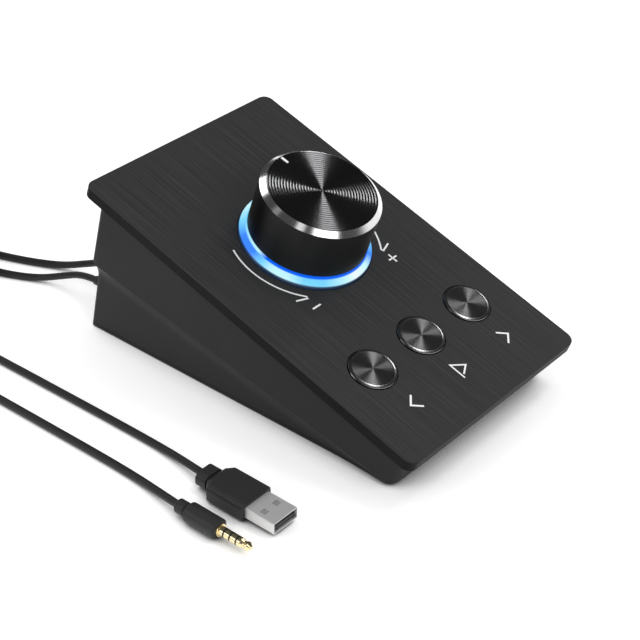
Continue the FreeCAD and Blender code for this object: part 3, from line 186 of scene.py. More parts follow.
def colour_ramp(made, share, stops):
    """A colour for each share, from stops of a position and a colour."""
    ramp = node(made, "ShaderNodeValToRGB")
    places = ramp.color_ramp.elements
    while len(places) < len(stops):
        places.new(0.5)
    for place, (position, colour) in zip(places, stops):
        place.position = position
        place.color = (*colour, 1)
    link(made, share, ramp.inputs["Fac"])
    return ramp.outputs["Color"]


# %% [markdown]
# ## Finishes
# Most finishes start from the same shader with a few plain numbers set on it. On top of that
# comes one kind of fine relief, made by noise that drives a bump. Real relief in the mesh would
# need millions of faces for grain this fine, and at this size nobody could tell the two apart.
# These helpers keep each later finish down to the numbers that matter: colour, roughness, and the
# size and depth of the grain.

# %%
def finish(name, colour, roughness, metallic=0.0, **more):
    """A new material whose shader has these plain values."""
    made = bpy.data.materials.new(name)
    made.use_nodes = True
    shader = shader_of(made)
    shader.inputs["Base Color"].default_value = (*colour, 1)
    shader.inputs["Roughness"].default_value = roughness
    shader.inputs["Metallic"].default_value = metallic
    for socket, value in more.items():
        shader.inputs[socket.replace("_", " ")].default_value = value
    return made


def shader_of(made):
    """The main shader of a material."""
    return made.node_tree.nodes["Principled BSDF"]


def relief(made, height, depth, strength):
    """Lets a height drive the bump of the whole surface."""
    bump = node(made, "ShaderNodeBump", Strength=strength, Distance=depth)
    link(made, height, bump.inputs["Height"])
    link(made, bump.outputs["Normal"], shader_of(made).inputs["Normal"])


def grain(made, size, depth, stretch=(1, 1, 1), strength=0.5):
    """Fine noise with grains of this size, longer along an axis where stretch is larger."""
    place = node(made, "ShaderNodeTexCoord")
    scaled = node(made, "ShaderNodeMapping", Scale=[1 / (size * s) for s in stretch])
    link(made, place.outputs["Object"], scaled.inputs["Vector"])
    noise = node(made, "ShaderNodeTexNoise", Scale=1.0, Detail=3.0, Roughness=0.6)
    link(made, scaled.outputs["Vector"], noise.inputs["Vector"])
    relief(made, noise.outputs["Fac"], depth, strength)


dressed = set()


def wear(made, *parts):
    """Gives parts of the engineering model this finish."""
    for part in parts:
        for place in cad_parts[part].material_slots:
            place.material = made
        dressed.add(part)


# %% [markdown]
# ## The cords come first
# Each cord is one length of soft cable: it leaves its strain relief, dips to the floor, is wound
# into a neat storage coil behind the object, and then runs forward along the left side to its
# plug. A cord could be pieced together from tubes and rings, but the joins would show. One smooth
# spline per cord does all of this. The places below are the corners that the cord swings round,
# in millimetres, and the coil is wound by a loop that adds its turns to the same spline.

# %%
USB_DIAMETER = 2.8
AUDIO_DIAMETER = 2.9

usb_tail = [
    (-30.0, 99.5, 9.5), (-31.4, 109.5, 5.2), (-35.0, 119.0, 1.8), (-40.4, 129.0, 1.4),
    (-44.6, 141.0, 1.4),
]
usb_lead = [
    (-86.4, 141.0, 9.2), (-85.7, 124.0, 4.5), (-84.5, 107.0, 1.4), (-83.7, 84.0, 1.4),
    (-82.8, 50.0, 1.4), (-82.1, 20.0, 1.4), (-82.1, 4.0, 1.5), (-83.4, -8.0, 2.7),
]
audio_tail = [
    (-18.0, 99.5, 9.5), (-19.2, 109.5, 5.2), (-22.6, 119.5, 1.8), (-28.4, 131.0, 1.45),
    (-33.6, 144.0, 1.45), (-37.6, 158.0, 1.45), (-44.5, 171.5, 1.45), (-54.5, 185.0, 1.45),
]
audio_lead = [
    (-104.4, 183.5, 9.6), (-103.9, 166.5, 4.6), (-103.0, 149.5, 1.45), (-101.8, 121.0, 1.45),
    (-100.9, 84.0, 1.45), (-100.1, 46.0, 1.45), (-99.5, 14.0, 1.45), (-99.7, -2.0, 1.5),
    (-101.1, -13.5, 2.5),
]
print("corners:", len(usb_tail) + len(usb_lead), "and", len(audio_tail) + len(audio_lead))

# %%
COIL_MIDDLE_RADIUS = 16.0
COIL_LAYERS = 4
POINTS_PER_TURN = 16
CLIMB = 0.08  # share of a layer over which the cord rises to the next one


def rise(layer):
    """How many layers the cord has climbed, level in each layer and smooth between them."""
    nearest = round(layer)
    if not 1 <= nearest < COIL_LAYERS or abs(layer - nearest) > CLIMB:
        return min(math.floor(layer), COIL_LAYERS - 1)
    share = (layer - nearest + CLIMB) / (2 * CLIMB)
    return nearest - 1 + share * share * (3 - 2 * share)


def coil(middle, diameter, turns, start_angle):
    """Turns beside and on each other a diameter apart, from the outside of the lowest layer."""
    reach = turns / COIL_LAYERS * diameter
    steps = round(turns * POINTS_PER_TURN)
    wound = []
    for step in range(steps + 1):
        layer = COIL_LAYERS * step / steps
        radius = COIL_MIDDLE_RADIUS - reach / 2 + reach * abs(1 - layer % 2)
        angle = math.radians(start_angle) + 2 * math.pi * turns * step / steps
        wound.append((middle[0] + radius * math.cos(angle), middle[1] + radius * math.sin(angle),
                      diameter * (rise(layer) + 0.5)))
    return wound


usb_coil = coil((-65.6, 153.0), USB_DIAMETER, turns=12.5, start_angle=0)
audio_coil = coil((-83.9, 196.5), AUDIO_DIAMETER, turns=11.43, start_angle=25)
print("points in the coils:", len(usb_coil), len(audio_coil))


# %%
def rear_tip(part):
    """The middle of a part's rearmost face, where a cord goes in or comes out."""
    low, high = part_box(part)
    return Vector(((low[0] + high[0]) / 2, high[1], (low[2] + high[2]) / 2))


def lay_cord(name, start, places, end, diameter):
    """One smooth spline from start to end, as thick as the cord."""
    line = bpy.data.curves.new(name, "CURVE")
    line.dimensions = "3D"
    line.bevel_depth = diameter * MM / 2
    line.bevel_resolution = 6
    line.resolution_u = 5
    line.use_fill_caps = True
    spots = [start, *(mm(*place) for place in places), end]
    run = line.splines.new("NURBS")
    run.points.add(len(spots) - 1)
    for point, spot in zip(run.points, spots):
        point.co = (*spot, 1)
    run.order_u = 3
    run.use_endpoint_u = True
    return in_room(name, line)


jacket = finish("cord_jacket", (0.020, 0.020, 0.021), 0.40, Specular_IOR_Level=0.25)
grain(jacket, 0.25 * MM, 0.01 * MM)
print("the usb cord enters its grip at, mm:", [round(c / MM, 1) for c in rear_tip("usb_grip")])

# %% [markdown]
# ## The latches behind the shell's windows
# The two square windows in a USB shell are where the socket's springs catch. Just under them lie
# small tongues of the same folded steel, so one looks at pale metal there and not into a dark
# hole. Painted squares would give that away from the side, so two thin plates are laid under the
# windows. They are a darker grey than the shell: painted shade for the recess under each window.
# The finish of the shell is made here too: plated steel with the fine lines of the rolling mill.

# %%
plug_steel = finish("plug_steel", (0.80, 0.80, 0.80), 0.38, 0.6)
grain(plug_steel, 0.2 * MM, 0.004 * MM, stretch=(1, 18, 1), strength=0.6)
# painted shade: the latch plates are darker than the shell to stand for the shade in the window
# recesses
latch_steel_painted_shade = finish("latch_steel_painted_shade", (0.42, 0.42, 0.42), 0.5, 0.5)
grain(latch_steel_painted_shade, 0.2 * MM, 0.004 * MM)
WINDOW_SETBACK = 6.1
WINDOW_PITCH = 6.0
LATCH_SIZE = 2.9
LATCH_THICKNESS = 0.12
SHELL_WALL = 0.3

shell_low, shell_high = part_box("usb_shell")
latch_shape = bmesh.new()
for side in (-1, 1):
    centre = Vector(((shell_low[0] + shell_high[0]) / 2 + side * WINDOW_PITCH / 2 * MM,
                     shell_high[1] - WINDOW_SETBACK * MM,
                     shell_high[2] - (SHELL_WALL + LATCH_THICKNESS) * MM))
    spread = Matrix.Diagonal((*mm(LATCH_SIZE, LATCH_SIZE, LATCH_THICKNESS), 1))
    bmesh.ops.create_cube(latch_shape, size=1, matrix=Matrix.Translation(centre) @ spread)


def object_of(name, shape, *materials, seat=Matrix()):
    """Turns a finished shape into an object, moved to its seat and with its materials."""
    mesh = bpy.data.meshes.new(name)
    shape.to_mesh(mesh)
    shape.free()
    mesh.transform(seat)
    for material in materials:
        mesh.materials.append(material)
    return in_room(name, mesh)


latches = object_of("usb_latches", latch_shape, latch_steel_painted_shade)
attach(latches, "stand")
print("latch plates:", len(latches.data.polygons) // 6)

# %%
CORDS = {
    "usb": (usb_tail + usb_coil + usb_lead, USB_DIAMETER,
            ["usb_grip", "usb_shell", "usb_tongue", "usb_contacts"]),
    "audio": (audio_tail + audio_coil + audio_lead, AUDIO_DIAMETER,
              ["audio_grip", "plug_sleeve", "plug_second_ring", "plug_first_ring",
               "plug_insulators", "plug_tip"]),
}
for name, (places, diameter, plug) in CORDS.items():
    start, end = rear_tip(f"{name}_strain_relief"), rear_tip(f"{name}_grip")
    cord = lay_cord(f"{name}_cord", start, places, end, diameter)
    cord.data.materials.append(jacket)
    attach(cord, "stand")
    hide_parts(f"{name}_cord_tail", f"{name}_coil", f"{name}_cord_lead")
    print(name, "cord starts at", [round(c / MM, 1) for c in start])

# %% [markdown]
# ## The floor
# The floor is plain and pale, and it keeps the object's shadow. A little glow for the camera and
# for mirror rays lifts it to clean white. Stronger lamps would do that too, but they would also
# wash out the object. Right where something stands on the floor, soft light hardly reaches, so the
# floor's colour and its glow are darkened there by how open each spot is: a painted contact shade.

# %%
FLOOR_SIZE = 6.0
FLOOR_LIFT = 0.34
FLOOR_COLOUR = (0.92, 0.92, 0.92, 1)
# painted contact shade: the floor's colour goes to this dark grey, and its glow fades, where
# little soft light reaches
CONTACT_SHADE_COLOUR = (0.16, 0.16, 0.16, 1)
CONTACT_SHADE_REACH = 0.016
CLOSED, OPEN = 0.20, 0.62  # how open a spot is where the gap's shade is full and where it ends


def seen_or_mirrored(made):
    """One for the camera's rays and for rays mirrored or let through by a surface, else nought."""
    ray = node(made, "ShaderNodeLightPath")
    seen = calculate(made, "ADD", ray.outputs["Is Camera Ray"], ray.outputs["Is Glossy Ray"])
    return calculate(made, "ADD", seen, ray.outputs["Is Transmission Ray"], use_clamp=True)


floor_finish = bpy.data.materials.new("pale_floor")
floor_finish.use_nodes = True
floor_finish.node_tree.nodes.clear()
near_by = node(floor_finish, "ShaderNodeAmbientOcclusion", samples=8, Distance=CONTACT_SHADE_REACH)
openness = between(floor_finish, near_by.outputs["AO"], CLOSED, OPEN)
paint = node(floor_finish, "ShaderNodeBsdfDiffuse")
glow = node(floor_finish, "ShaderNodeEmission", Color=(1, 1, 1, 1))
both = node(floor_finish, "ShaderNodeAddShader")
surface = node(floor_finish, "ShaderNodeOutputMaterial")
shaded_floor_paint = blend(floor_finish, openness, CONTACT_SHADE_COLOUR, FLOOR_COLOUR)
lift = calculate(floor_finish, "MULTIPLY", seen_or_mirrored(floor_finish), FLOOR_LIFT)
link(floor_finish, shaded_floor_paint, paint.inputs["Color"])
link(floor_finish, calculate(floor_finish, "MULTIPLY", lift, openness), glow.inputs["Strength"])
link(floor_finish, paint.outputs[0], both.inputs[0])
link(floor_finish, glow.outputs[0], both.inputs[1])
link(floor_finish, both.outputs[0], surface.inputs["Surface"])

half = FLOOR_SIZE / 2
corners = [(-half, -half, 0), (half, -half, 0), (half, half, 0), (-half, half, 0)]
floor_mesh = bpy.data.meshes.new("floor")
floor_mesh.from_pydata(corners, [], [(0, 1, 2, 3)])
floor_mesh.materials.append(floor_finish)
floor = in_room("floor", floor_mesh)
print("floor:", FLOOR_SIZE, "m wide")

# %% [markdown]
# ## The lamps
# The light is soft and comes from panels with dark air between them. One large tent of light
# would be simpler, but it makes turned metal look grey. Every groove is a small bent mirror, so
# each panel shows as a bright wedge from the centre to the rim, and the dark air between two
# panels shows as a dark wedge. The places of the panels decide where the wedges fall.

# %%
def lamp(name, azimuth, height_angle, distance, width, height, power):
    """A soft rectangular lamp that faces the object, placed by two angles seen from there."""
    data = bpy.data.lights.new(name, "AREA")
    data.shape = "RECTANGLE"
    data.size = width
    data.size_y = height
    data.energy = power
    around, lifted = math.radians(azimuth), math.radians(height_angle)
    back = Vector((math.cos(around) * math.cos(lifted),
                   math.sin(around) * math.cos(lifted), math.sin(lifted)))
    side = Vector((0, 0, 1)).cross(back).normalized()
    turned = Matrix((side, back.cross(side), back)).transposed().to_4x4()
    in_room(name, data).matrix_world = Matrix.Translation(back * distance) @ turned


LAMPS = {  # azimuth and height in degrees, then distance, width, height in metres, and power
    "high_right_lamp": (325, 64.5, 1.4, 0.36, 0.24, 2.4),
    "right_lamp": (1, 28, 1.4, 0.20, 0.20, 1.4),
    "low_right_card": (7, 18, 1.4, 0.16, 0.12, 0.25),
    "rear_panel": (90, 37, 1.4, 0.60, 0.55, 2.2),
    "front_left_panel": (252, 37, 1.4, 0.78, 0.36, 1.8),
    "left_card": (150, 22, 0.55, 0.25, 0.20, 0.40),
    "rear_left_dot": (152, 54, 1.4, 0.22, 0.22, 0.035),
    "left_dot": (212, 51, 1.4, 0.24, 0.22, 0.16),
}
for name, settings in LAMPS.items():
    lamp(name, *settings)
print("lamps:", len(LAMPS))

# %% [markdown]
# ## The air
# The air gives an even light from all sides, and what a mirror sees in it is set apart from that
# light. Near the horizon a mirror sees white, as the backdrop is, and above it dark cloth.
# Towards the rear it sees dark cloth from the ground up, except for the camera, which sees the
# backdrop. Without the cloth the polished bevel would be white all the way round.

# %%
AIR_LIGHT = 0.70
BACKDROP, CLOTH = (1.0, 1.0, 1.0), (0.05, 0.05, 0.052)
BACKDROP_TOP, CLOTH_FOOT = 0.19, 0.27  # how steeply a direction goes up, from 0 to 1
CLOTH_EDGE, CLOTH_FULL = -0.16, -0.06  # how far a direction goes to the rear, from -1 to 1

world = bpy.data.worlds.new("studio")
bpy.context.scene.world = world
world.use_nodes = True
soft_air = world.node_tree.nodes["Background"]
link(world, (1, 1, 1, 1), soft_air.inputs["Color"])
link(world, AIR_LIGHT, soft_air.inputs["Strength"])

direction = node(world, "ShaderNodeTexCoord")
parts_of_it = node(world, "ShaderNodeSeparateXYZ")
link(world, direction.outputs["Generated"], parts_of_it.inputs[0])
above = colour_ramp(world, parts_of_it.outputs["Z"],
                    [(BACKDROP_TOP, BACKDROP), (CLOTH_FOOT, CLOTH)])
behind = between(world, parts_of_it.outputs["Y"], CLOTH_EDGE, CLOTH_FULL)
ray = node(world, "ShaderNodeLightPath")
unseen = calculate(world, "SUBTRACT", 1.0, ray.outputs["Is Camera Ray"])
mirrored_air = blend(world, calculate(world, "MULTIPLY", behind, unseen), above, (*CLOTH, 1))

seen_air = node(world, "ShaderNodeBackground")
either = node(world, "ShaderNodeMixShader")
link(world, mirrored_air, seen_air.inputs["Color"])
link(world, seen_or_mirrored(world), either.inputs["Fac"])
link(world, soft_air.outputs[0], either.inputs[1])
link(world, seen_air.outputs[0], either.inputs[2])
link(world, either.outputs[0], world.node_tree.nodes["World Output"].inputs["Surface"])
bpy.context.scene.view_settings.view_transform = "Standard"
print("air light:", AIR_LIGHT)

# %% [markdown]
# ## The moulded wedge
# The housing and its bottom cover are injection moulded in black plastic. The tool's steel is
# spark eroded, which leaves an even, very fine grain that breaks up the highlights. A single flat
# roughness would look like fresh paint, so two sizes of noise are used: the grain itself in the
# bump, and a slow drift of roughness, as a moulding cools unevenly.

# %%
SPARK_GRAIN = 0.28
DRIFT_SCALE = 45.0
SMOOTHEST, ROUGHEST = 0.44, 0.56
moulding = finish("moulded_shell", (0.017, 0.017, 0.0175), 0.5, Specular_IOR_Level=0.18)
grain(moulding, SPARK_GRAIN * MM, 0.02 * MM, strength=0.6)
drift_place = node(moulding, "ShaderNodeTexCoord")
drift = node(moulding, "ShaderNodeTexNoise", Scale=DRIFT_SCALE, Detail=2.0)
link(moulding, drift_place.outputs["Object"], drift.inputs["Vector"])
drifting = between(moulding, drift.outputs["Fac"], 0.0, 1.0, SMOOTHEST, ROUGHEST)
link(moulding, drifting, shader_of(moulding).inputs["Roughness"])
wear(moulding, "housing", "bottom_cover")
print("moulding grain:", SPARK_GRAIN, "mm")

# %%
pad_rubber = finish("foot_rubber", (0.02, 0.02, 0.021), 0.8, Specular_IOR_Level=0.25)
grain(pad_rubber, 0.4 * MM, 0.03 * MM, strength=0.6)
wear(pad_rubber, "rubber_feet")

zinc = finish("plated_screws", (0.5, 0.5, 0.51), 0.32, 1.0)
grain(zinc, 0.15 * MM, 0.004 * MM)
wear(zinc, "cover_screws", "board_screws")
print("parts dressed so far:", sorted(dressed))

# %% [markdown]
# ## The brushed plate
# The top is sheet aluminium, brushed along its length and anodised black. Brushing leaves
# thousands of straight scratches, far too many to cut one by one, so noise makes them: it is
# stretched far along the plate and is very fine across it. To do that on a sloping part, the noise
# is given places measured on the plate itself. The scratches change the colour a little as well as
# the relief, because light catches on their edges. Below the skin the plate's edge is given a
# darker colour.

# %%
SCRATCH_WIDTH = 0.28
SCRATCH_LENGTH = 42
SCRATCH_DEPTH = 0.004
SCRATCH_COLOURS = [(0.36, (0.033, 0.033, 0.034)), (0.66, (0.053, 0.053, 0.054))]
EDGE_COLOUR = (0.010, 0.010, 0.0105, 1)
EDGE_FROM, EDGE_FULL = -0.25, -0.45  # heights measured from the skin


def plate_places(made):
    """Texture places measured across, along and up from the plate's middle."""
    place = node(made, "ShaderNodeTexCoord")
    level = node(made, "ShaderNodeMapping", vector_type="TEXTURE",
                 Location=plate_middle, Rotation=(TILT, 0, 0))
    link(made, place.outputs["Object"], level.inputs["Vector"])
    return level.outputs["Vector"]


brushed = finish("brushed_plate", (0.045, 0.045, 0.046), 0.42, 0.05, Specular_IOR_Level=0.05)
on_plate = plate_places(brushed)
squeezed = vectors(brushed, "MULTIPLY", on_plate,
                   [1 / size for size in mm(SCRATCH_WIDTH, SCRATCH_LENGTH, 4)])
scratches = node(brushed, "ShaderNodeTexNoise", Scale=1.0, Detail=2.0, Roughness=0.65)
link(brushed, squeezed, scratches.inputs["Vector"])
relief(brushed, scratches.outputs["Fac"], SCRATCH_DEPTH * MM, strength=0.5)
skin = colour_ramp(brushed, scratches.outputs["Fac"], SCRATCH_COLOURS)
axes = node(brushed, "ShaderNodeSeparateXYZ")
link(brushed, on_plate, axes.inputs[0])
below_skin = between(brushed, axes.outputs["Z"], EDGE_FROM * MM, EDGE_FULL * MM)
plate_colour = blend(brushed, below_skin, skin, EDGE_COLOUR)
link(brushed, plate_colour, shader_of(brushed).inputs["Base Color"])
wear(brushed, "top_plate")
print("scratches are about", SCRATCH_LENGTH, "mm long")

# %% [markdown]
# ## The turned knob
# The cap is turned from solid aluminium. A pointed tool cuts rings across its face, and a diamond
# tool leaves a mirror-bright chamfer at the rim. Rings this size could be a bump, but one sees
# them from the side at the rim, so they are made as real shape: a profile is written down from
# the skirt to the centre and swept round the knob's axis.

# %%
def sweep(name, profile, seat, materials, around=144, smooth_angle=30):
    """Sweeps a profile of (radius, height) in millimetres round the axis of a seat."""
    shape = bmesh.new()
    rings = []
    for radius, height in profile:
        if radius == 0:
            rings.append([shape.verts.new((0, 0, height * MM))])
            continue
        ring = []
        for step in range(around):
            angle = 2 * math.pi * step / around
            ring.append(shape.verts.new((radius * MM * math.cos(angle),
                                         radius * MM * math.sin(angle), height * MM)))
        rings.append(ring)
    for lower, upper in zip(rings, rings[1:]):
        for step in range(around):
            after = (step + 1) % around
            if len(upper) == 1:
                shape.faces.new((lower[step], lower[after], upper[0]))
            elif len(lower) == 1:
                shape.faces.new((lower[0], upper[after], upper[step]))
            else:
                shape.faces.new((lower[step], lower[after], upper[after], upper[step]))
    for face in shape.faces:
        face.smooth = True
    made = object_of(name, shape, *materials, seat=seat)
    made.data.set_sharp_from_angle(angle=math.radians(smooth_angle))
    return made


# %%
KNOB_RADIUS = 23.0
KNOB_BOTTOM = 3.9
KNOB_TOP = 25.3
KNOB_ROUND = 0.3
BORE_RADIUS = 20.6
BORE_TOP = 22.6
BEVEL_WIDTH = 2.1
BEVEL_HEIGHT = 1.8
LAND_WIDTH, LAND_DEPTH = 0.12, 0.02  # the flat line between the bevel and the first groove
FACE_RADIUS = KNOB_RADIUS - BEVEL_WIDTH
FACE_TOP = KNOB_TOP - 0.03
GROOVES = 19
GROOVE_DEPTH = 0.18

face = []
for groove in range(GROOVES):
    pitch = FACE_RADIUS / GROOVES
    for quarter, dip in enumerate((0, 0.5, 1, 0.5)):
        face.append((FACE_RADIUS - (groove + quarter / 4) * pitch, FACE_TOP - dip * GROOVE_DEPTH))
knob_profile = [
    (0, BORE_TOP), (BORE_RADIUS, BORE_TOP), (BORE_RADIUS, KNOB_BOTTOM + KNOB_ROUND),
    (BORE_RADIUS + KNOB_ROUND, KNOB_BOTTOM), (KNOB_RADIUS - KNOB_ROUND, KNOB_BOTTOM),
    (KNOB_RADIUS, KNOB_BOTTOM + KNOB_ROUND), (KNOB_RADIUS, KNOB_TOP - BEVEL_HEIGHT),
    (FACE_RADIUS + LAND_WIDTH, KNOB_TOP - LAND_DEPTH),
    (FACE_RADIUS + LAND_DEPTH, KNOB_TOP - LAND_DEPTH),
    *face, (0, FACE_TOP),
]
print("knob profile has", len(knob_profile), "points")


# %% [markdown]
# Turned metal reflects like a record: the highlight spreads across the grooves and stays narrow
# along them. The shader is told which way the grooves run by a tangent. It is worked out as the
# direction at right angles to both the knob's axis and the line from the axis to the point. The
# shader draws the highlight out along the tangent, so it is turned by a quarter.

# %%
QUARTER_TURN = 0.25


def groove_direction(made, centre, axis):
    """The direction of the grooves round an axis, turned along when the part turns."""
    place = node(made, "ShaderNodeTexCoord")
    arm = vectors(made, "SUBTRACT", place.outputs["Object"], centre)
    turned = node(made, "ShaderNodeVectorTransform", vector_type="VECTOR",
                  convert_from="OBJECT", convert_to="WORLD")
    link(made, vectors(made, "CROSS_PRODUCT", axis, arm), turned.inputs[0])
    link(made, turned.outputs[0], shader_of(made).inputs["Tangent"])


turned_face = finish("turned_knob", (0.108, 0.108, 0.11), 0.22, 1.0, Anisotropic=0.9,
                     Anisotropic_Rotation=QUARTER_TURN)
bright_bevel = finish("bright_bevel", (0.85, 0.85, 0.86), 0.15, 1.0)
knob_skirt = finish("knob_skirt", (0.038, 0.038, 0.0385), 0.42, 1.0, Anisotropic=0.85,
                    Anisotropic_Rotation=QUARTER_TURN)
for made in (turned_face, knob_skirt):
    groove_direction(made, knob_seat.translation, plate_up)

knob = sweep("turned_knob", knob_profile, knob_seat, (turned_face, bright_bevel, knob_skirt))
on_axis = knob_seat.inverted()
for polygon in knob.data.polygons:
    spot = on_axis @ polygon.center
    if spot.z < (KNOB_TOP - BEVEL_HEIGHT) * MM:
        polygon.material_index = 2
    elif math.hypot(spot.x, spot.y) > FACE_RADIUS * MM:
        polygon.material_index = 1
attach(knob, "knob")
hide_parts("knob_cap")
print("knob faces:", len(knob.data.polygons))

# %%
pointer_paint = finish("pointer_inlay", (0.95, 0.95, 0.95), 0.4)
grain(pointer_paint, 0.2 * MM, 0.004 * MM, strength=0.4)
wear(pointer_paint, "knob_pointer")

# %% [markdown]
# ## The lit ring
# A milky ring is lit from below by small blue lamps. Where the plastic is thin it is nearly white,
# and where it is thick it stays blue. Real lamps under a scattering body would give this, but
# slowly and with noise. So the glow is written down as two colour ramps round the ring, one for
# its inner edge and one for its body, with a thin dark line of painted shade where the ring meets
# the plate.

# %%
RING_INNER, RING_OUTER = 21.6, 25.7
DEEP_BLUE, BLUE, SKY = (0.0, 0.12, 0.95), (0.03, 0.22, 1.0), (0.20, 0.68, 1.0)
PALE, WHITE, DARK = (0.60, 0.95, 1.0), (0.95, 1.0, 1.0), (0.0, 0.0, 0.0)
BODY_STOPS = [
    (0.00, SKY), (0.03, PALE), (0.07, PALE), (0.11, SKY), (0.16, SKY), (0.22, PALE),
    (0.25, WHITE), (0.30, PALE), (0.34, BLUE), (0.39, SKY), (0.60, BLUE), (0.80, PALE),
    (0.86, SKY), (0.91, BLUE), (0.965, BLUE), (1.00, SKY),
]
INNER_STOPS = [
    (0.00, DEEP_BLUE), (0.42, DEEP_BLUE), (0.50, SKY), (0.86, SKY), (0.97, PALE),
    (1.00, DEEP_BLUE),
]

ring_glow = finish("ring_diffuser", (0.02, 0.05, 0.12), 0.25, Specular_IOR_Level=0.5,
                   Emission_Strength=0.95)
from_axis = vectors(ring_glow, "SUBTRACT", plate_places(ring_glow), (0, KNOB_OFFSET, 0))
flat_arm = vectors(ring_glow, "MULTIPLY", from_axis, (1, 1, 0))
arm_length = node(ring_glow, "ShaderNodeVectorMath", operation="LENGTH")
link(ring_glow, flat_arm, arm_length.inputs[0])
across_ring = between(ring_glow, arm_length.outputs["Value"], RING_INNER * MM, RING_OUTER * MM)
arm_parts = node(ring_glow, "ShaderNodeSeparateXYZ")
link(ring_glow, flat_arm, arm_parts.inputs[0])
angle = calculate(ring_glow, "ARCTAN2", arm_parts.outputs["Y"], arm_parts.outputs["X"])
round_ring = between(ring_glow, angle, -math.pi, math.pi)

ring_body = colour_ramp(ring_glow, round_ring, BODY_STOPS)
ring_edge = colour_ramp(ring_glow, round_ring, INNER_STOPS)
body_share = colour_ramp(ring_glow, across_ring, [(0.38, DARK), (0.50, WHITE)])
# painted shade: the glow fades to black at the outer edge, where the ring meets the plate
outer_shade_line = colour_ramp(ring_glow, across_ring, [(0.90, WHITE), (0.95, DARK)])
lit = blend(ring_glow, body_share, ring_edge, ring_body)
lit = blend(ring_glow, 1.0, lit, outer_shade_line, blend_type="MULTIPLY")
link(ring_glow, lit, shader_of(ring_glow).inputs["Emission Color"])
wear(ring_glow, "light_ring")

lamp_glow = finish("lamp", (0.5, 0.8, 1.0), 0.3, Emission_Strength=1.0)
link(lamp_glow, (0.3, 0.7, 1.0, 1), shader_of(lamp_glow).inputs["Emission Color"])
wear(lamp_glow, "ring_lamps")
print("colours round the ring:", len(BODY_STOPS), "and", len(INNER_STOPS))

# %% [markdown]
# ## The turned buttons
# Each button is a low disc with a flat, very finely turned face inside a polished rim. Its
# grooves are too fine to see one by one, so cut grooves would be wasted on it. They are left to
# the shader, whose strong anisotropy gives the sharp wedges of light. Only the rim is real shape.

# %%
BUTTON_RADIUS = 9.0
BUTTON_PROUD = 0.75
BUTTON_FACE = BUTTON_PROUD - 0.12
BUTTON_FOOT = -1.6
RIM_WIDTH = 1.15
RIM_INSIDE = BUTTON_RADIUS - RIM_WIDTH
button_profile = [
    (BUTTON_RADIUS - 0.02, BUTTON_FOOT), (BUTTON_RADIUS, BUTTON_PROUD - 0.55),
    (BUTTON_RADIUS - 0.12, BUTTON_PROUD - 0.38), (RIM_INSIDE + 0.1, BUTTON_PROUD),
    (RIM_INSIDE, BUTTON_PROUD), (RIM_INSIDE - 0.05, BUTTON_FACE), (RIM_INSIDE - 0.12, BUTTON_FACE),
    (4, BUTTON_FACE), (1, BUTTON_FACE), (0, BUTTON_FACE),
]
polished_rim = finish("polished_rim", (0.26, 0.26, 0.265), 0.22, 1.0)
for place, side in (("left", -1), ("middle", 0), ("right", 1)):
    seat = slope @ Matrix.Translation((side * BUTTON_PITCH, BUTTON_OFFSET, 0))
    button_face = finish(f"turned_button_{place}", (0.20, 0.20, 0.202), 0.34, 1.0,
                         Anisotropic=1.0, Anisotropic_Rotation=QUARTER_TURN)
    groove_direction(button_face, seat.translation, plate_up)
    button = sweep(f"turned_button_{place}", button_profile, seat, (button_face, polished_rim),
                   around=96)
    on_axis = seat.inverted()
    for polygon in button.data.polygons:
        spot = on_axis @ polygon.center
        if math.hypot(spot.x, spot.y) > RIM_INSIDE * MM:
            polygon.material_index = 1
    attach(button, f"button_{place}")
    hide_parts(f"button_cap_{place}")
print("buttons are", 2 * BUTTON_RADIUS, "mm wide")

# %% [markdown]
# ## The printed marks
# The marks are screen printed in white: an arrow round each side of the knob with a minus and a
# plus, and one sign below each button. They could be part of the plate's colour, but then their
# edges would blur close up. Ink has almost no thickness, so each mark is a flat ribbon that
# follows a few corner places and lies a hair above the plate.

# %%
INK_HEIGHT = 0.03
STEEPEST_MITRE = 0.35
KNOB_STROKE, BUTTON_STROKE, PLAY_STROKE = 0.7, 0.75, 0.65
ARC_RADIUS = 29.6


def ribbon(shape, places, width):
    """A flat band of even width along places on the plate, with mitred corners."""
    spots = [Vector(place) for place in places]
    sides = []
    for index, spot in enumerate(spots):
        before = (spot - spots[index - 1]).normalized() if index else None
        after = (spots[index + 1] - spot).normalized() if index + 1 < len(spots) else None
        heading = ((before or after) + (after or before)).normalized()
        normal = Vector((-heading.y, heading.x))
        straight = after or before
        reach = width / 2 / max(STEEPEST_MITRE, normal.dot(Vector((-straight.y, straight.x))))
        sides.append([shape.verts.new((*((spot + normal * reach * s) * MM), INK_HEIGHT * MM))
                      for s in (1, -1)])
    for (left, right), (next_left, next_right) in zip(sides, sides[1:]):
        shape.faces.new((right, next_right, next_left, left))


def arc(radius, first, last, steps=24):
    """Places on a circle round the knob."""
    angles = [math.radians(first + (last - first) * step / steps) for step in range(steps + 1)]
    return [(radius * math.cos(a), radius * math.sin(a) + KNOB_OFFSET / MM) for a in angles]


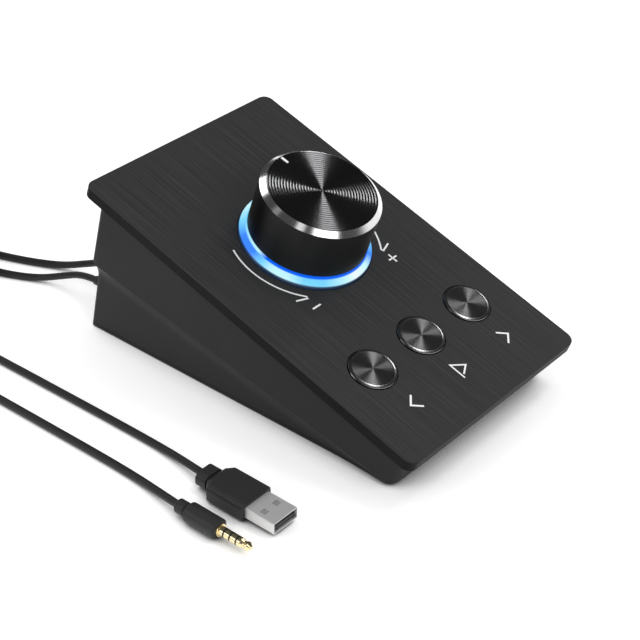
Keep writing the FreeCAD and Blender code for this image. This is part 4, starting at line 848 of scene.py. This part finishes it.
MARKS = [
    (KNOB_STROKE, arc(ARC_RADIUS, 157, 223) + [(-21.9, -7.1)]),
    (KNOB_STROKE, arc(ARC_RADIUS, 23, -43) + [(21.9, -7.1)]),
    (KNOB_STROKE, [(-21.6, -7.2), (-26.6, -5.6)]),
    (KNOB_STROKE, [(21.6, -7.2), (26.6, -5.6)]),
    (KNOB_STROKE, [(-24.3, -11.8), (-20.0, -11.8)]),
    (KNOB_STROKE, [(19.8, -11.8), (24.2, -11.8)]),
    (KNOB_STROKE, [(22.0, -9.6), (22.0, -14.0)]),
    (BUTTON_STROKE, [(-25.6, -60.0), (-29.3, -63.1), (-25.6, -66.2)]),
    (BUTTON_STROKE, [(25.6, -60.0), (29.3, -63.1), (25.6, -66.2)]),
    (PLAY_STROKE, [(-1.2, -65.5), (2.9, -63.05), (-2.3, -59.7), (-2.3, -66.8)]),
]
ink = bmesh.new()
for width, places in MARKS:
    ribbon(ink, places, width)
ink_finish = finish("white_ink", (0.97, 0.97, 0.97), 0.55)
grain(ink_finish, 0.2 * MM, 0.003 * MM, strength=0.4)
marks = object_of("printed_marks", ink, ink_finish, seat=slope)
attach(marks, "stand")
print("printed marks:", len(marks.data.polygons), "faces")

# %% [markdown]
# ## Plugs and strain reliefs
# The grips and reliefs are moulded onto the cords in a soft plastic, a little rougher than the
# jacket. The audio plug's poles are turned brass under bright gold, with black insulators
# between. Their shapes are exact in the engineering model, so they are not made again here and
# only get their finishes. The contacts in the USB plug are gold as well.

# %%
soft_grip = finish("cord_rubber", (0.030, 0.030, 0.031), 0.42, Specular_IOR_Level=0.22)
grain(soft_grip, 0.22 * MM, 0.015 * MM, strength=0.6)
wear(soft_grip, "usb_grip", "audio_grip", "usb_strain_relief", "audio_strain_relief")

wear(plug_steel, "usb_shell")

tongue = finish("tongue_plastic", (0.02, 0.02, 0.02), 0.4)
grain(tongue, 0.2 * MM, 0.006 * MM)
wear(tongue, "usb_tongue")

gold = finish("gold", (0.94, 0.80, 0.48), 0.22, 1.0)
grain(gold, 0.12 * MM, 0.002 * MM, stretch=(6, 1, 6))
wear(gold, "usb_contacts", "plug_sleeve", "plug_second_ring", "plug_first_ring", "plug_tip")

insulator = finish("plug_insulators", (0.015, 0.015, 0.015), 0.35)
grain(insulator, 0.1 * MM, 0.002 * MM, strength=0.4)
wear(insulator, "plug_insulators")
print("parts dressed so far:", len(dressed))

# %% [markdown]
# ## What is inside
# Few people see the inside, but the part is also shown in pieces. One grey for everything inside
# would do for a closed box. Here each piece gets what it is made of: the board is green under its
# solder mask, the stems and the knob's hub are plain moulded nylon, the switches are pressed metal
# with black plungers, and the encoder is pressed and plated metal.

# %%
solder_mask = finish("circuit_board", (0.015, 0.10, 0.045), 0.35)
grain(solder_mask, 0.5 * MM, 0.01 * MM)
nylon = finish("inner_plastic", (0.045, 0.045, 0.046), 0.5)
grain(nylon, 0.35 * MM, 0.012 * MM)
header_nylon = finish("header_plastic", (0.72, 0.69, 0.60), 0.45)
grain(header_nylon, 0.35 * MM, 0.012 * MM)
chip_plastic = finish("chip_plastic", (0.015, 0.015, 0.016), 0.5)
grain(chip_plastic, 0.2 * MM, 0.008 * MM)
pressed_metal = finish("encoder_metal", (0.5, 0.5, 0.49), 0.35, 1.0)
grain(pressed_metal, 0.4 * MM, 0.006 * MM)
shaft_metal = finish("encoder_shaft_metal", (0.62, 0.62, 0.62), 0.3, 1.0)
grain(shaft_metal, 0.1 * MM, 0.003 * MM, stretch=(8, 8, 1))

wear(solder_mask, "main_board", "light_board")
wear(nylon, "knob_hub", "encoder_rotor")
wear(pressed_metal, "encoder_body", "encoder_washer", "encoder_nut", "switch_bodies")
wear(shaft_metal, "encoder_shaft")
wear(header_nylon, "cable_headers")
wear(chip_plastic, "board_chips")
for place in ("left", "middle", "right"):
    wear(nylon, f"button_stem_{place}")
    wear(chip_plastic, f"switch_plunger_{place}")
print("made anew, so without a finish here:", sorted(set(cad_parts) - dressed))
